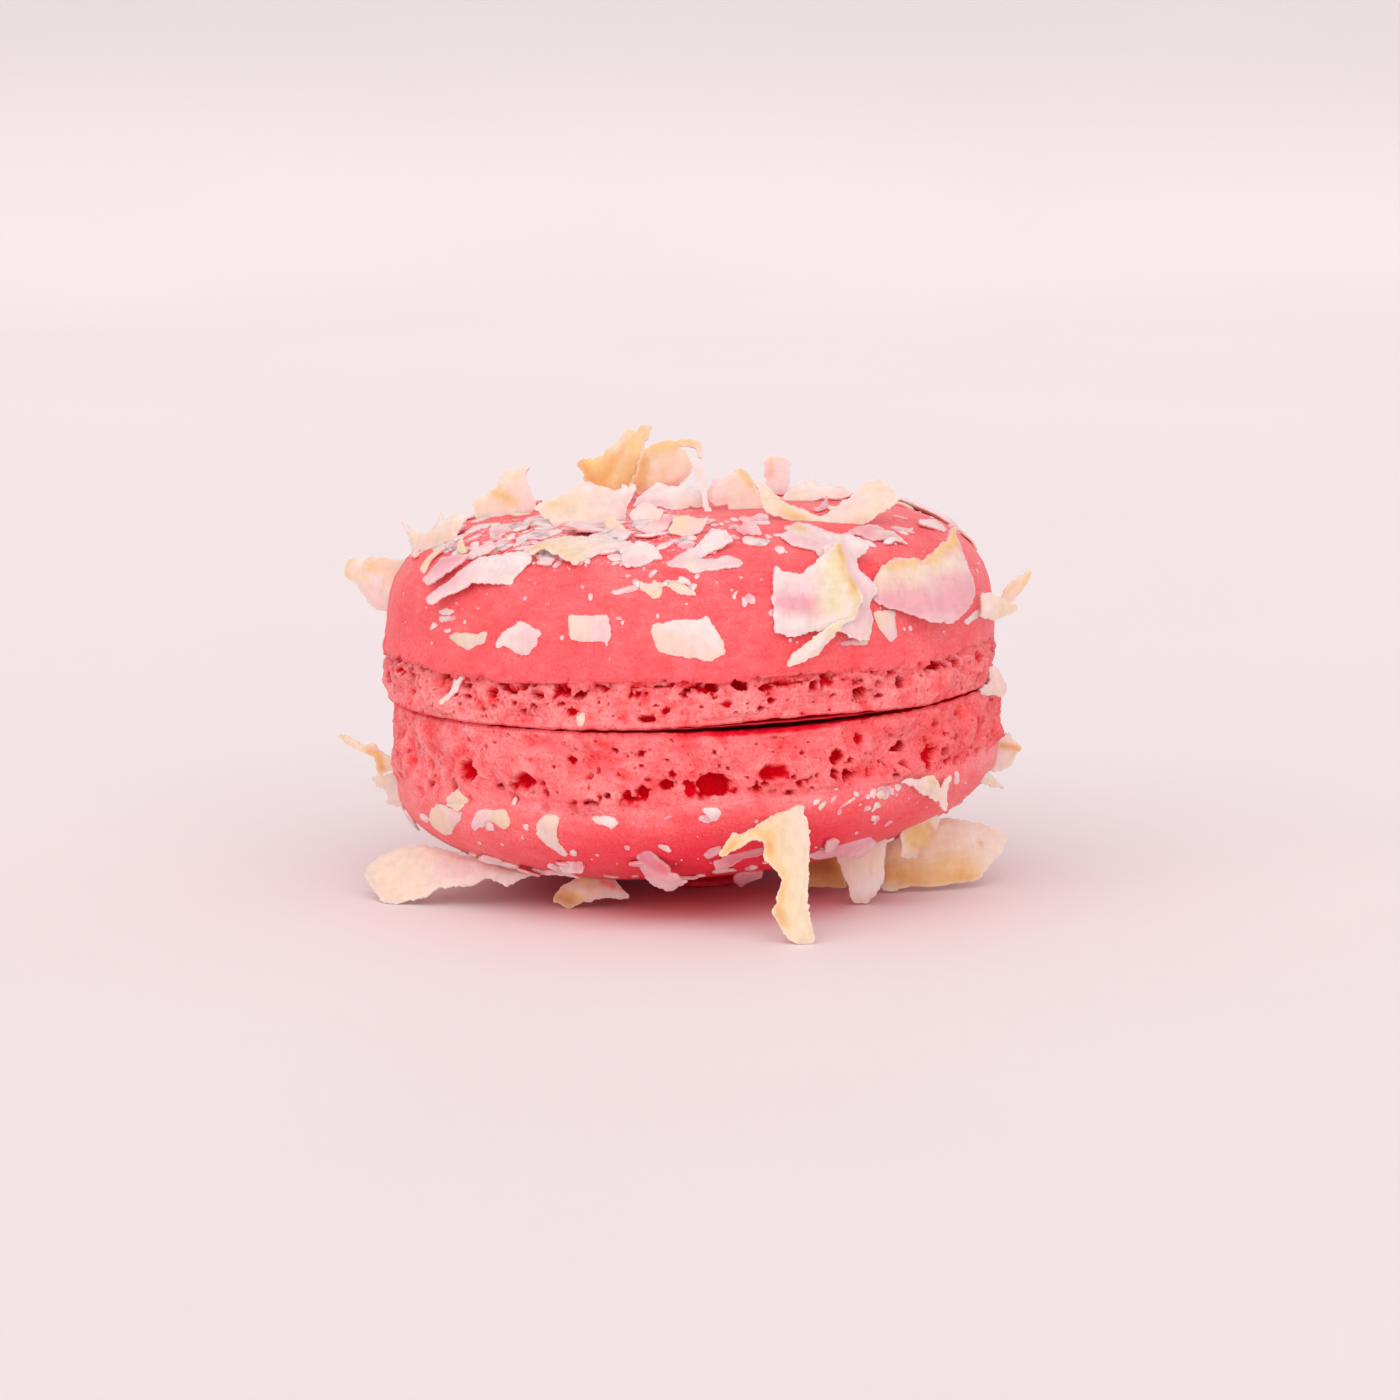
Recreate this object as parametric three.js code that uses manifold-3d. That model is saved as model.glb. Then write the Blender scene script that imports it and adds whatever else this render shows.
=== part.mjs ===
// A pink French macaron rolled in toasted coconut. Two almond meringue shells, each with a smooth domed crown and a
// craggy foot, face each other over a thin smear of raspberry filling. Coconut chips stick to both crowns, and those
// under the lower crown carry the macaron a little over the table.
//
// Millimetres, +Z up. The origin is on the table under the middle of the shells. The front looks along -Y. An azimuth
// is in degrees round +Z, 0 at the front and positive towards +X.

import * as THREE from "three";
import { mergeVertices } from "three/addons/utils/BufferGeometryUtils.js";
import Module from "manifold-3d";

const wasm = await Module();
wasm.setup();

// ---------------------------------------------------------------------------------------------- driving dimensions

const REST_HEIGHT = 1.3; // lowest point of the lower crown, over the table
const SEAM_GAP = 0.2; // between the two feet where they are closest
const CONTACT_GAP = 0.15; // between a piece and what it lies against
const CREASE = 0.25; // depth of the crease between a foot and its crown
const RUFFLE = 0.42; // how far the foot's ruffles stand in and out
const SEGMENTS = 60; // round each shell

// Each shell is modelled with its flat face at z = 0 and its crown up, and side -1 turns it over. shift moves it along
// X, and lean tilts its crown against its flat face. Each lift raises the foot's rim round one azimuth: the seam opens
// where the upper rim is lifted more than the lower one.
const UPPER = {
  name: "upper_shell",
  side: 1,
  radius: 22.2,
  shift: -0.1,
  footHeight: 3.5,
  crownHeight: 10.0,
  crownPower: 3.6,
  lean: 0.008,
  seed: 1,
  lifts: [
    { azimuth: 24, width: 26, rise: 0.75 },
    { azimuth: 68, width: 18, rise: 0.7 },
  ],
};
const LOWER = {
  name: "lower_shell",
  side: -1,
  radius: 21.95,
  shift: 0.2,
  footHeight: 5.1,
  crownHeight: 7.9,
  crownPower: 2.1,
  lean: 0.051,
  seed: 4,
  lifts: [
    { azimuth: 38, width: 18, rise: 0.25 },
    { azimuth: 68, width: 20, rise: 0.66 },
  ],
};
const SEAM_HEIGHT = REST_HEIGHT + LOWER.crownHeight + LOWER.footHeight;
const ROLL = -1.05; // degrees, right side up
const PITCH = -0.36; // degrees, front up

const FILLING = { radius: 19.5, thickness: 0.5, waves: 0.35 };
const RECESS = 0.3; // depth of the hollow in each flat face that holds the filling

const CHIP_THICKNESS = 0.5;
const CHIP_RAGGED = 0.13; // how uneven a chip's broken edge is
const CRUMB_THICKNESS = 0.33; // over the crown
const CRUMB_ROOT = 0.5; // under the crown's surface

// ------------------------------------------------------------------------------------------------ small functions

const radians = THREE.MathUtils.degToRad;
const clamp = THREE.MathUtils.clamp;
const smooth = THREE.MathUtils.smoothstep;

// A repeatable number from 0 to 1 for each pair of whole numbers.
function chance(index, seed) {
  const wave = Math.sin(index * 12.9898 + seed * 78.233) * 43758.5453;
  return wave - Math.floor(wave);
}

// The value at share 0 to 1 of a list of evenly spaced stations, or the number itself.
function along(stations, share) {
  if (typeof stations === "number") return stations;
  const place = clamp(share, 0, 1) * (stations.length - 1);
  const before = Math.min(Math.floor(place), stations.length - 2);
  return THREE.MathUtils.lerp(stations[before], stations[before + 1], place - before);
}

// ---------------------------------------------------------------------------------------- meshes to solids and back

function solidOf(geometry, matrix = new THREE.Matrix4()) {
  const bare = geometry.clone().applyMatrix4(matrix);
  bare.deleteAttribute("normal");
  bare.deleteAttribute("uv");
  const merged = mergeVertices(bare, 1e-4);
  return new wasm.Manifold(
    new wasm.Mesh({
      numProp: 3,
      vertProperties: merged.attributes.position.array,
      triVerts: new Uint32Array(merged.index.array),
    }),
  );
}

function geometryOf(solid) {
  const mesh = solid.getMesh();
  const geometry = new THREE.BufferGeometry();
  geometry.setAttribute("position", new THREE.BufferAttribute(mesh.vertProperties, 3));
  geometry.setIndex(new THREE.BufferAttribute(mesh.triVerts, 1));
  geometry.computeVertexNormals();
  return geometry;
}

// The largest body of a solid that a cut may have split.
function largest(solid) {
  return solid.decompose().reduce((best, body) => (body.volume() > best.volume() ? body : best));
}

// ------------------------------------------------------------------------------------------------------ the shells

// Puts the seam, level and centred, where the macaron has it.
const macaronMatrix = new THREE.Matrix4()
  .makeTranslation(0, 0, SEAM_HEIGHT)
  .multiply(new THREE.Matrix4().makeRotationX(radians(PITCH)))
  .multiply(new THREE.Matrix4().makeRotationY(radians(ROLL)));

// Puts a shell's own frame, with its flat face at z = 0, into the macaron.
function shellMatrix(shell) {
  const raised = shell.side > 0 ? SEAM_GAP : 0;
  return macaronMatrix
    .clone()
    .multiply(new THREE.Matrix4().makeTranslation(0, 0, raised))
    .multiply(new THREE.Matrix4().makeRotationX(shell.side > 0 ? 0 : Math.PI));
}

// Uneven waves round a shell, from about -1 to 1.
const RUFFLE_WAVES = [7, 11, 17, 23, 31];
function ruffle(azimuth, height, seed) {
  return RUFFLE_WAVES.reduce((sum, waves, i) => {
    const drift = i % 2 ? 1.3 : -1.3;
    return sum + Math.sin(waves * azimuth + drift * height + 2.4 * (i + seed)) / (i + 2);
  }, 0);
}

// The lifts leave the middle of a shell where it is.
const rimShare = (radius) => smooth(radius, 0.6 * FILLING.radius, FILLING.radius);

// How far the rim is lifted at an azimuth in radians.
function lift(shell, azimuth) {
  return shell.lifts.reduce((sum, { azimuth: middle, width, rise }) => {
    const away = (THREE.MathUtils.radToDeg(azimuth) - middle) / width;
    return sum + rise * Math.exp(-away * away);
  }, 0);
}

// Moves a point of the turned profile to where the real, uneven shell has it, in place.
function unevenShell(shell, point) {
  const radius = Math.hypot(point.x, point.y);
  const azimuth = Math.atan2(point.x, -shell.side * point.y);
  const inFoot = clamp(point.z / shell.footHeight, 0, 1);
  const rim = rimShare(radius);
  const skinEdge = Math.exp(-(((point.z - shell.footHeight) / 1.6) ** 2));
  const footWall = smooth(point.z, 0, 0.9) * (1 - smooth(point.z, shell.footHeight - 0.6, shell.footHeight + 0.2));
  const wander = 0.16 * Math.sin(5 * azimuth + shell.seed) + 0.1 * Math.sin(9 * azimuth - 2 * shell.seed);
  const outOfRound = 0.005 * Math.sin(2 * azimuth + shell.seed) + 0.004 * Math.sin(3 * azimuth - shell.seed);
  const stretch = 1 + outOfRound + (RUFFLE * footWall * ruffle(azimuth, point.z, shell.seed)) / shell.radius;
  const tilt = inFoot * shell.side * shell.lean * point.x;
  const lifted = shell.side * lift(shell, azimuth) * rim * (1 - inFoot);
  const x = point.x * stretch + shell.shift;
  point.set(x, point.y * stretch, point.z + tilt + lifted + wander * skinEdge * rim);
}

// The point of the crown at a climb from 0, the skin's edge, to 1, the crown's middle, before it is made uneven.
function crownProfile(shell, climb, swell = 0) {
  const turn = (climb * Math.PI) / 2;
  const power = 2 / shell.crownPower;
  return new THREE.Vector2(
    (shell.radius + swell) * Math.abs(Math.cos(turn)) ** power,
    shell.footHeight + (shell.crownHeight + swell) * Math.sin(turn) ** power,
  );
}

// From the middle of the flat face, out and up the foot, and over the crown.
function shellProfile(shell, swell) {
  const foot = shell.radius + swell;
  const height = shell.footHeight;
  const crownRings = 8;
  const profile = [
    new THREE.Vector2(0, RECESS - swell),
    new THREE.Vector2(FILLING.radius + 0.5, RECESS - swell),
    new THREE.Vector2(FILLING.radius + 1.1, -swell),
    new THREE.Vector2(foot - 0.3, -swell),
    new THREE.Vector2(foot, 0.15 * height),
    new THREE.Vector2(foot, 0.45 * height),
    new THREE.Vector2(foot, 0.75 * height),
    new THREE.Vector2(foot - CREASE, 0.98 * height),
  ];
  for (let ring = 0; ring < crownRings; ring++)
    profile.push(crownProfile(shell, 0.01 + 0.85 * (ring / (crownRings - 1)) ** 1.6, swell));
  profile.push(new THREE.Vector2(0, height + shell.crownHeight + swell));
  return profile;
}

function shellGeometry(shell, swell = 0) {
  const geometry = new THREE.LatheGeometry(shellProfile(shell, swell), SEGMENTS);
  geometry.rotateX(Math.PI / 2);
  const position = geometry.attributes.position;
  const point = new THREE.Vector3();
  for (let i = 0; i < position.count; i++) {
    point.fromBufferAttribute(position, i);
    unevenShell(shell, point);
    position.setXYZ(i, point.x, point.y, point.z);
  }
  return geometry;
}

// A point at an azimuth in degrees, a radius and a height, in a shell's own frame.
function shellPoint(shell, azimuth, radius, height) {
  const turn = radians(azimuth);
  return new THREE.Vector3(radius * Math.sin(turn), -shell.side * radius * Math.cos(turn), height);
}

// The place of a piece stuck to a shell: its z axis along the surface's normal, its x axis level, then turned in the
// surface. height is used on the foot's wall, and climb on the crown.
function surfaceFrame(shell, { azimuth, climb, height, turn = 0 }) {
  const here = climb === undefined ? new THREE.Vector2(shell.radius, height) : crownProfile(shell, climb);
  const step = climb === undefined ? new THREE.Vector2(0, 1) : crownProfile(shell, climb + 0.01).sub(here).normalize();
  const place = shellPoint(shell, azimuth, here.x, here.y);
  unevenShell(shell, place);
  const up = shellPoint(shell, azimuth, step.x, step.y);
  const level = shellPoint(shell, azimuth + 90, shell.side, 0);
  const normal = new THREE.Vector3().crossVectors(level, up).normalize();
  return new THREE.Matrix4()
    .makeBasis(level, up, normal)
    .setPosition(place)
    .multiply(new THREE.Matrix4().makeRotationZ(radians(turn)));
}

// ------------------------------------------------------------------------------------------- holes in the feet

// The largest air holes of each foot: azimuth, height over the flat face, half width and half height.
const HOLES = {
  upper_shell: [
    [-34, 2.9, 0.5, 0.35],
    [-8, 0.8, 0.6, 0.3],
    [4, 3.0, 0.4, 0.35],
    [17, 2.9, 0.8, 0.4],
    [32, 1.6, 0.5, 0.7],
    [42, 2.3, 0.5, 0.5],
    [52, 3.1, 0.9, 0.4],
  ],
  lower_shell: [
    [-47, 2.9, 1.0, 0.65],
    [-33, 3.3, 0.8, 0.6],
    [-13, 4.5, 0.6, 0.4],
    [3, 3.9, 1.3, 0.95],
    [14, 3.2, 1.2, 0.6],
    [27, 2.5, 0.65, 0.5],
    [42, 2.6, 0.7, 0.45],
  ],
};
const HIDDEN_HOLES = 5; // round the sides and the back
const HOLE_DEPTH = 1.5;

function holesOf(shell) {
  const hidden = Array.from({ length: HIDDEN_HOLES }, (_, i) => [
    75 + ((i + chance(i, 11)) * 210) / HIDDEN_HOLES,
    shell.footHeight * (0.3 + 0.5 * chance(i, 12 + shell.seed)),
    0.45 + 0.7 * chance(i, 13),
    0.35 + 0.4 * chance(i, 14),
  ]);
  return [...HOLES[shell.name], ...hidden].map(([azimuth, height, halfWidth, halfHeight]) => {
    const place = surfaceFrame(shell, { azimuth, height, turn: 20 });
    const size = new THREE.Matrix4().makeScale(halfWidth, halfHeight, HOLE_DEPTH);
    return solidOf(new THREE.IcosahedronGeometry(1, 0), place.multiply(size));
  });
}

// ---------------------------------------------------------------------------- small coconut flakes fused to a shell

// azimuth, climb on the crown, length, width, turn. These are the larger ones that show from the front.
const CRUMBS = {
  upper_shell: [
    [-18.5, 0.11, 3.0, 1.9, 0],
    [-0.5, 0.08, 5.2, 2.6, -8],
    [-32.5, 0.07, 3.2, 1.9, 16],
    [-45.5, 0.05, 2.7, 1.1, 4],
    [-6, 0.32, 1.5, 1.3, 0],
    [0, 0.31, 2.1, 1.2, -12],
    [-12, 0.27, 2.0, 0.6, 10],
    [11, 0.22, 1.5, 1.0, 50],
    [-52, 0.12, 1.8, 1.2, 5],
    [-60, 0.42, 2.9, 0.8, 48],
    [-50, 0.53, 2.2, 1.0, 60],
    [-40, 0.64, 3.4, 1.2, 5],
    [-30, 0.68, 2.9, 1.3, -8],
    [-14, 0.86, 2.8, 1.8, 12],
    [-22, 0.74, 2.2, 1.3, -40],
    [-4, 0.76, 3.2, 1.4, 30],
    [1, 0.67, 2.6, 1.5, 6],
    [16, 0.66, 2.4, 1.5, 12],
    [22, 0.72, 2.6, 1.0, -8],
    [36.5, 0.08, 1.8, 2.2, 20],
    [59, 0.48, 1.9, 1.0, -12],
    [28, 0.04, 2.2, 0.7, 6],
  ],
  lower_shell: [
    [-54, 0.1, 3.2, 2.3, 72],
    [-51, 0.03, 2.0, 1.6, 20],
    [-41.5, 0.06, 3.0, 1.6, -12],
    [-28.5, 0.11, 3.6, 1.5, 64],
    [-17.5, 0.05, 2.1, 0.8, 18],
    [2.5, 0.06, 2.0, 1.3, 20],
    [26, 0.06, 1.9, 1.1, -30],
    [32, 0.08, 1.4, 1.2, 0],
    [-68, 0.14, 1.9, 1.5, 30],
    [-20, 0.34, 2.6, 1.2, 30],
    [-26, 0.5, 3.4, 1.0, 0],
    [10, 0.52, 2.2, 1.3, -10],
  ],
};
// The same flakes strewn over the sides and the back by a rule.
const STREWN_CRUMBS = 12;

// On the wall of the upper foot: azimuth, height, length, width, turn.
const WALL_CRUMBS = {
  upper_shell: [
    [-48.5, 1.6, 2.9, 0.7, -62],
    [-22, 0.7, 1.2, 0.8, -55],
  ],
  lower_shell: [],
};

function crumbSolid(place, length, width, seed, swell = 0) {
  const corners = 6;
  const outline = new THREE.Shape(
    Array.from({ length: corners }, (_, i) => {
      const turn = ((i + 0.5 * chance(i, seed)) * 2 * Math.PI) / corners;
      const reach = 0.5 * (0.82 + 0.3 * chance(i, seed + 0.5));
      return new THREE.Vector2(
        Math.cos(turn) * (reach * length + swell),
        Math.sin(turn) * (reach * width + swell),
      );
    }),
  );
  const plate = new THREE.ExtrudeGeometry(outline, {
    depth: CRUMB_ROOT + CRUMB_THICKNESS + swell,
    bevelEnabled: false,
  });
  plate.translate(0, 0, -CRUMB_ROOT);
  return solidOf(plate, place);
}

function crumbsOf(shell) {
  const strewn = Array.from({ length: STREWN_CRUMBS }, (_, i) => [
    62 + ((i + chance(i, 21)) * 236) / STREWN_CRUMBS,
    0.04 + 0.8 * chance(i, 22 + shell.seed),
    1.2 + 2.2 * chance(i, 23),
    0.8 + 1.1 * chance(i, 24),
    180 * chance(i, 25),
  ]);
  const onCrown = [...CRUMBS[shell.name], ...strewn].map(([azimuth, climb, length, width, turn]) => ({
    place: surfaceFrame(shell, { azimuth, climb, turn }),
    length,
    width,
  }));
  const onWall = WALL_CRUMBS[shell.name].map(([azimuth, height, length, width, turn]) => ({
    place: surfaceFrame(shell, { azimuth, height, turn }),
    length,
    width,
  }));
  return [...onCrown, ...onWall];
}

// ------------------------------------------------------------------------------------------------- coconut chips

// Bends a length at a given curvature: the place across and out of the plane for something at an offset from it.
function bend(distance, curvature, offset) {
  if (Math.abs(curvature) < 1e-6) return [distance, offset];
  const radius = 1 / curvature + offset;
  return [radius * Math.sin(curvature * distance), radius * Math.cos(curvature * distance) - 1 / curvature];
}

// A chip is a thin curved slab. Seen from its face, it runs along x, and its upper and lower edges stand `high` and
// `low` off a middle line that `sweep` bends up at both ends. It is rolled by `cup` across and `arch` along (both are
// curvatures, positive where the middle bulges towards the viewer) and twisted by `twist` degrees from end to end.
function chipPoint(chip, share, across, layer, swell) {
  const { length, high, low, sweep = 0, cup = 0, arch = 0, twist = 0, thickness = CHIP_THICKNESS, seed } = chip;
  const station = Math.round(share * chip.steps);
  const ragged = (edge) => CHIP_RAGGED * (2 * chance(station, seed + edge) - 1);
  const top = along(high, share) + swell + ragged(0.3);
  const bottom = -along(low, share) - swell + ragged(0.7);
  const flatY = THREE.MathUtils.lerp(bottom, top, across) + sweep * (2 * share - 1) ** 2;
  const flatX = (share - 0.5) * (length + 2 * swell);
  const thin = 0.75 + 0.25 * Math.sin(Math.PI * across);
  const [cuppedY, cuppedZ] = bend(flatY, cup, layer * (0.5 * thickness * thin + swell));
  const turn = radians(twist) * (share - 0.5);
  const y = cuppedY * Math.cos(turn) - cuppedZ * Math.sin(turn);
  const z = cuppedY * Math.sin(turn) + cuppedZ * Math.cos(turn);
  const [x, out] = bend(flatX, arch, z);
  return new THREE.Vector3(x, y, out);
}

// Both faces have the same grid, and a strip of triangles round the rim joins them.
function chipGeometry(chip, swell) {
  const columns = chip.steps + 1;
  const rows = chip.rows + 1;
  const points = [];
  const triangles = [];
  for (const layer of [1, -1])
    for (let i = 0; i < columns; i++)
      for (let j = 0; j < rows; j++)
        points.push(...chipPoint(chip, i / chip.steps, j / chip.rows, layer, swell).toArray());
  const front = (i, j) => i * rows + j;
  const back = (i, j) => columns * rows + i * rows + j;
  for (let i = 0; i < chip.steps; i++)
    for (let j = 0; j < chip.rows; j++) {
      triangles.push(front(i, j), front(i + 1, j), front(i + 1, j + 1));
      triangles.push(front(i, j), front(i + 1, j + 1), front(i, j + 1));
      triangles.push(back(i, j), back(i + 1, j + 1), back(i + 1, j));
      triangles.push(back(i, j), back(i, j + 1), back(i + 1, j + 1));
    }
  const rim = [];
  for (let i = 0; i < chip.steps; i++) rim.push([i, 0]);
  for (let j = 0; j < chip.rows; j++) rim.push([chip.steps, j]);
  for (let i = chip.steps; i > 0; i--) rim.push([i, chip.rows]);
  for (let j = chip.rows; j > 0; j--) rim.push([0, j]);
  rim.forEach((here, k) => {
    const next = rim[(k + 1) % rim.length];
    triangles.push(front(...here), back(...here), back(...next));
    triangles.push(front(...here), back(...next), front(...next));
  });
  const geometry = new THREE.BufferGeometry();
  geometry.setAttribute("position", new THREE.Float32BufferAttribute(points, 3));
  geometry.setIndex(triangles);
  return geometry;
}

// `face` is the azimuth that the chip's face looks to, how far it is tilted up from lying flat, and its turn in its
// own plane, in degrees. At a tilt of 90 it stands upright, and past that it looks down.
function chipMatrix({ at, face: [heading, tilt, turn] }) {
  return new THREE.Matrix4()
    .makeTranslation(...at)
    .multiply(new THREE.Matrix4().makeRotationZ(radians(heading)))
    .multiply(new THREE.Matrix4().makeRotationX(radians(tilt)))
    .multiply(new THREE.Matrix4().makeRotationZ(radians(turn)));
}

function chipSolid(chip, swell = 0) {
  const body = solidOf(chipGeometry(chip, swell), chipMatrix(chip));
  return chip.arm ? body.add(chipSolid(sized(chip.arm, chip.seed + 100), swell)) : body;
}

// Gives a chip its seed and a grid that suits its size.
function sized(chip, seed) {
  const widest = Math.max(...[chip.high, chip.low].map((edge) => Math.max(...[edge].flat())));
  return {
    ...chip,
    seed,
    steps: Math.max(4, Math.round(chip.length / 1.2)),
    rows: widest > 2.1 ? 3 : 2,
  };
}

const CHIPS = [
  // standing on the middle of the upper crown
  { name: "chip_peak_left", at: [-5.5, 3.5, 30.6], face: [-10, 72, 8], length: 5.4, cup: 0.12, twist: 14,
    high: [0.1, 0.4, 1.4, 2.4, 1.9, 2.5], low: [0.5, 1.8, 2.7, 2.9, 2.5, 1.8] },
  { name: "chip_peak_right", at: [-1.7, 2.2, 30.3], face: [8, 72, 0], length: 4.8, cup: 0.3,
    high: [1.0, 1.7, 2.1, 2.1, 1.6], low: [2.4, 2.4, 2.2, 1.6, 0.5] },
  { name: "chip_peak_strand", at: [0.9, -4.4, 30.1], face: [0, 78, -78], length: 5.8, arch: 0.06,
    high: [0.45, 0.35, 0.35, 0.45], low: [0.45, 0.35, 0.35, 0.5] },
  { name: "chip_top_sheet", at: [-7.7, -6.8, 29.3], face: [0, 48, 4], length: 7.9, arch: 0.05, cup: 0.05,
    high: [0.5, 1.9, 2.5, 2.0, 1.9], low: [0.8, 1.7, 2.1, 1.9, 1.1] },
  { name: "chip_top_left_fin", at: [-14.2, 1.0, 28.9], face: [-20, 68, 18], length: 4.4, cup: 0.1,
    high: [0.3, 1.0, 1.9, 2.0, 1.2], low: [0.6, 1.7, 1.9, 1.6, 0.8] },
  { name: "chip_top_fan", at: [3.9, -3.2, 29.4], face: [10, 65, 0], length: 2.8, cup: 0.1,
    high: [1.2, 2.0, 1.6, 1.2, 0.6], low: [1.6, 1.9, 1.9, 1.8, 1.4] },
  { name: "chip_top_pale", at: [-1.4, -2.6, 28.9], face: [0, 50, 4], length: 4.6, arch: 0.06,
    high: [0.4, 0.9, 1.0, 0.8, 0.4], low: [0.6, 0.9, 0.9, 0.8, 0.4] },
  { name: "chip_boat", at: [9.9, -8.4, 28.8], face: [6, 52, 0], length: 10.8, sweep: 2.9, cup: 0.12,
    high: [0.5, 0.5, 0.7, 1.1, 1.6, 1.2], low: [0.5, 0.6, 1.1, 1.4, 1.6, 0.6] },
  { name: "chip_back_stub", at: [6.2, 5.5, 29.8], face: [0, 80, 0], length: 2.3,
    high: [1.0, 1.2, 1.1], low: [1.9, 2.0, 1.8] },
  { name: "chip_back_low", at: [9.4, 2.2, 28.6], face: [10, 40, 8], length: 4.4, arch: 0.08,
    high: [0.3, 0.8, 0.6, 0.4], low: [0.5, 0.8, 0.9, 0.4] },
  // on the shoulder of the upper crown
  { name: "chip_front_long", at: [-8.4, -15.4, 27.0], face: [-22, 27, 1], length: 8.0, arch: 0.04,
    high: [0.3, 0.5, 0.6, 0.5, 0.3], low: [0.6, 1.0, 2.3, 1.2, 0.5] },
  { name: "chip_front_quad", at: [-3.5, -17.2, 26.9], face: [-8, 30, -8], length: 3.2,
    high: [1.0, 1.4, 1.2, 0.8, 0.2], low: [1.5, 1.7, 1.4, 1.0, 0.5] },
  { name: "chip_front_fork", at: [1.1, -17.5, 27.0], face: [2, 30, 14], length: 5.7, arch: 0.05,
    high: [0.2, 0.8, 1.5, 1.6, 0.6], low: [0.3, 0.8, 1.4, 1.5, 0.6] },
  { name: "chip_left_long", at: [-15.6, -13.7, 25.1], face: [-42, 48, 20], length: 8.8, arch: 0.05,
    high: [0.3, 0.7, 0.9, 1.2, 0.6], low: [0.3, 0.6, 0.9, 1.4, 1.0] },
  { name: "chip_left_second", at: [-17.4, -10.2, 25.7], face: [-56, 42, 22], length: 5.4, arch: 0.06,
    high: [0.2, 0.5, 0.6, 0.5, 0.2], low: [0.2, 0.5, 0.7, 0.6, 0.2] },
  { name: "chip_left_fan", at: [-18.8, -3.0, 26.6], face: [-50, 68, 10], length: 3.6,
    high: [0.4, 1.2, 1.5, 0.8], low: [0.8, 1.0, 1.0, 0.8] },
  { name: "chip_left_curl", at: [-23.6, 2.2, 22.0], face: [-28, 82, -8], length: 4.5, cup: 0.42,
    high: [1.0, 1.8, 1.9, 1.6, 1.2], low: [0.8, 1.1, 2.0, 2.2, 1.4] },
  { name: "chip_pink_flat", at: [9.3, -14.7, 27.1], face: [30, 26, -6], length: 6.4, arch: 0.06,
    high: [0.6, 1.1, 0.8, 0.5, 0.9, 0.4], low: [0.5, 0.8, 1.1, 1.4, 1.4, 0.6] },
  { name: "chip_right_flat", at: [12.9, -11.6, 27.2], face: [32, 24, 6], length: 4.4, arch: 0.08,
    high: [0.3, 0.6, 0.7, 0.5, 0.3], low: [0.2, 0.5, 0.6, 0.6, 0.4] },
  { name: "chip_right_tab", at: [17.6, -1.2, 27.6], face: [30, 62, -45], length: 2.9,
    high: [0.6, 0.7, 0.4, 0.2], low: [0.8, 0.6, 0.4, 0.2] },
  // on the front and the sides of the upper crown
  { name: "chip_big_white", at: [8.6, -19.9, 24.2], face: [16, 66, 0], length: 6.4, cup: 0.06, arch: -0.05,
    high: [1.7, 1.2, 1.5, 2.0, 2.7, 3.5, 1.6, -0.5], low: [2.8, 3.1, 3.2, 3.1, 2.8, 2.4, 1.8, 0.9] },
  { name: "chip_white_tail", at: [8.7, -21.5, 20.8], face: [18, 86, 37], length: 5.8, arch: 0.04,
    high: [0.2, 0.4, 0.45, 0.5, 0.6], low: [0.2, 0.45, 0.45, 0.4, 0.5] },
  { name: "chip_pink_band", at: [11.85, -18.05, 24.3], face: [34, 64, 86], length: 7.6, arch: 0.07,
    high: [1.2, 1.1, 0.8, 0.9, 1.4], low: [1.9, 1.7, 0.5, 0.9, 0.9] },
  { name: "chip_big_pink", at: [16.8, -14.9, 23.6], face: [40, 68, 0], length: 9.0, arch: 0.04, cup: 0.04,
    high: [0.4, 1.9, 2.3, 2.1, 1.9, 2.1, 2.6, 3.3, 4.3, 4.9, 1.4],
    low: [0.7, 1.2, 1.5, 1.7, 1.9, 2.0, 2.2, 2.4, 2.1, 1.6, 0.4] },
  { name: "chip_right_pale", at: [22.1, -7.5, 21.5], face: [34, 80, -4], length: 3.9,
    high: [0.3, 0.9, 1.0, 0.6, 0.1], low: [0.3, 0.7, 1.0, 0.8, 0.1] },
  { name: "chip_right_toast", at: [23.6, -1.8, 22.0], face: [20, 85, 48], length: 5.0,
    high: [0.4, 0.7, 0.7, 0.3], low: [0.5, 0.6, 0.5, 0.1] },
  // between the shells
  { name: "chip_seam_tooth", at: [22.3, -5.4, 15.9], face: [52, 88, -62], length: 2.6,
    high: [0.4, 0.5, 0.4, 0.2], low: [0.7, 0.9, 0.9, 0.6] },
  // on the sides of the lower crown
  { name: "chip_left_twig", at: [-24.2, 1.6, 9.2], face: [-30, 85, -26], length: 5.4,
    high: [0.2, 0.3, 0.4, 0.9], low: [0.2, 0.3, 0.6, 1.0] },
  { name: "chip_left_pale", at: [-23.0, 2.6, 7.2], face: [-40, 95, 20], length: 2.7,
    high: [0.5, 0.7, 0.6], low: [0.5, 0.7, 0.7] },
  { name: "chip_right_hook", at: [17.1, -14.2, 8.9], face: [50, 98, -25], length: 3.9, cup: 0.1,
    high: [0.5, 0.9, 1.1, 0.5], low: [0.3, 0.5, 0.9, 0.6] },
  { name: "chip_right_corner", at: [21.6, -3.8, 8.8], face: [62, 100, -32], length: 2.6,
    high: [0.7, 0.8, 0.2], low: [0.7, 0.6, 0.3] },
  { name: "chip_right_wing", at: [23.3, 1.6, 9.4], face: [30, 88, 68], length: 3.9,
    high: [0.6, 0.9, 0.9, 0.6], low: [0.5, 0.9, 0.9, 0.7] },
  { name: "chip_right_curl", at: [16.4, -8.8, 4.7], face: [52, 118, 62], length: 3.4, cup: 0.45,
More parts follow.
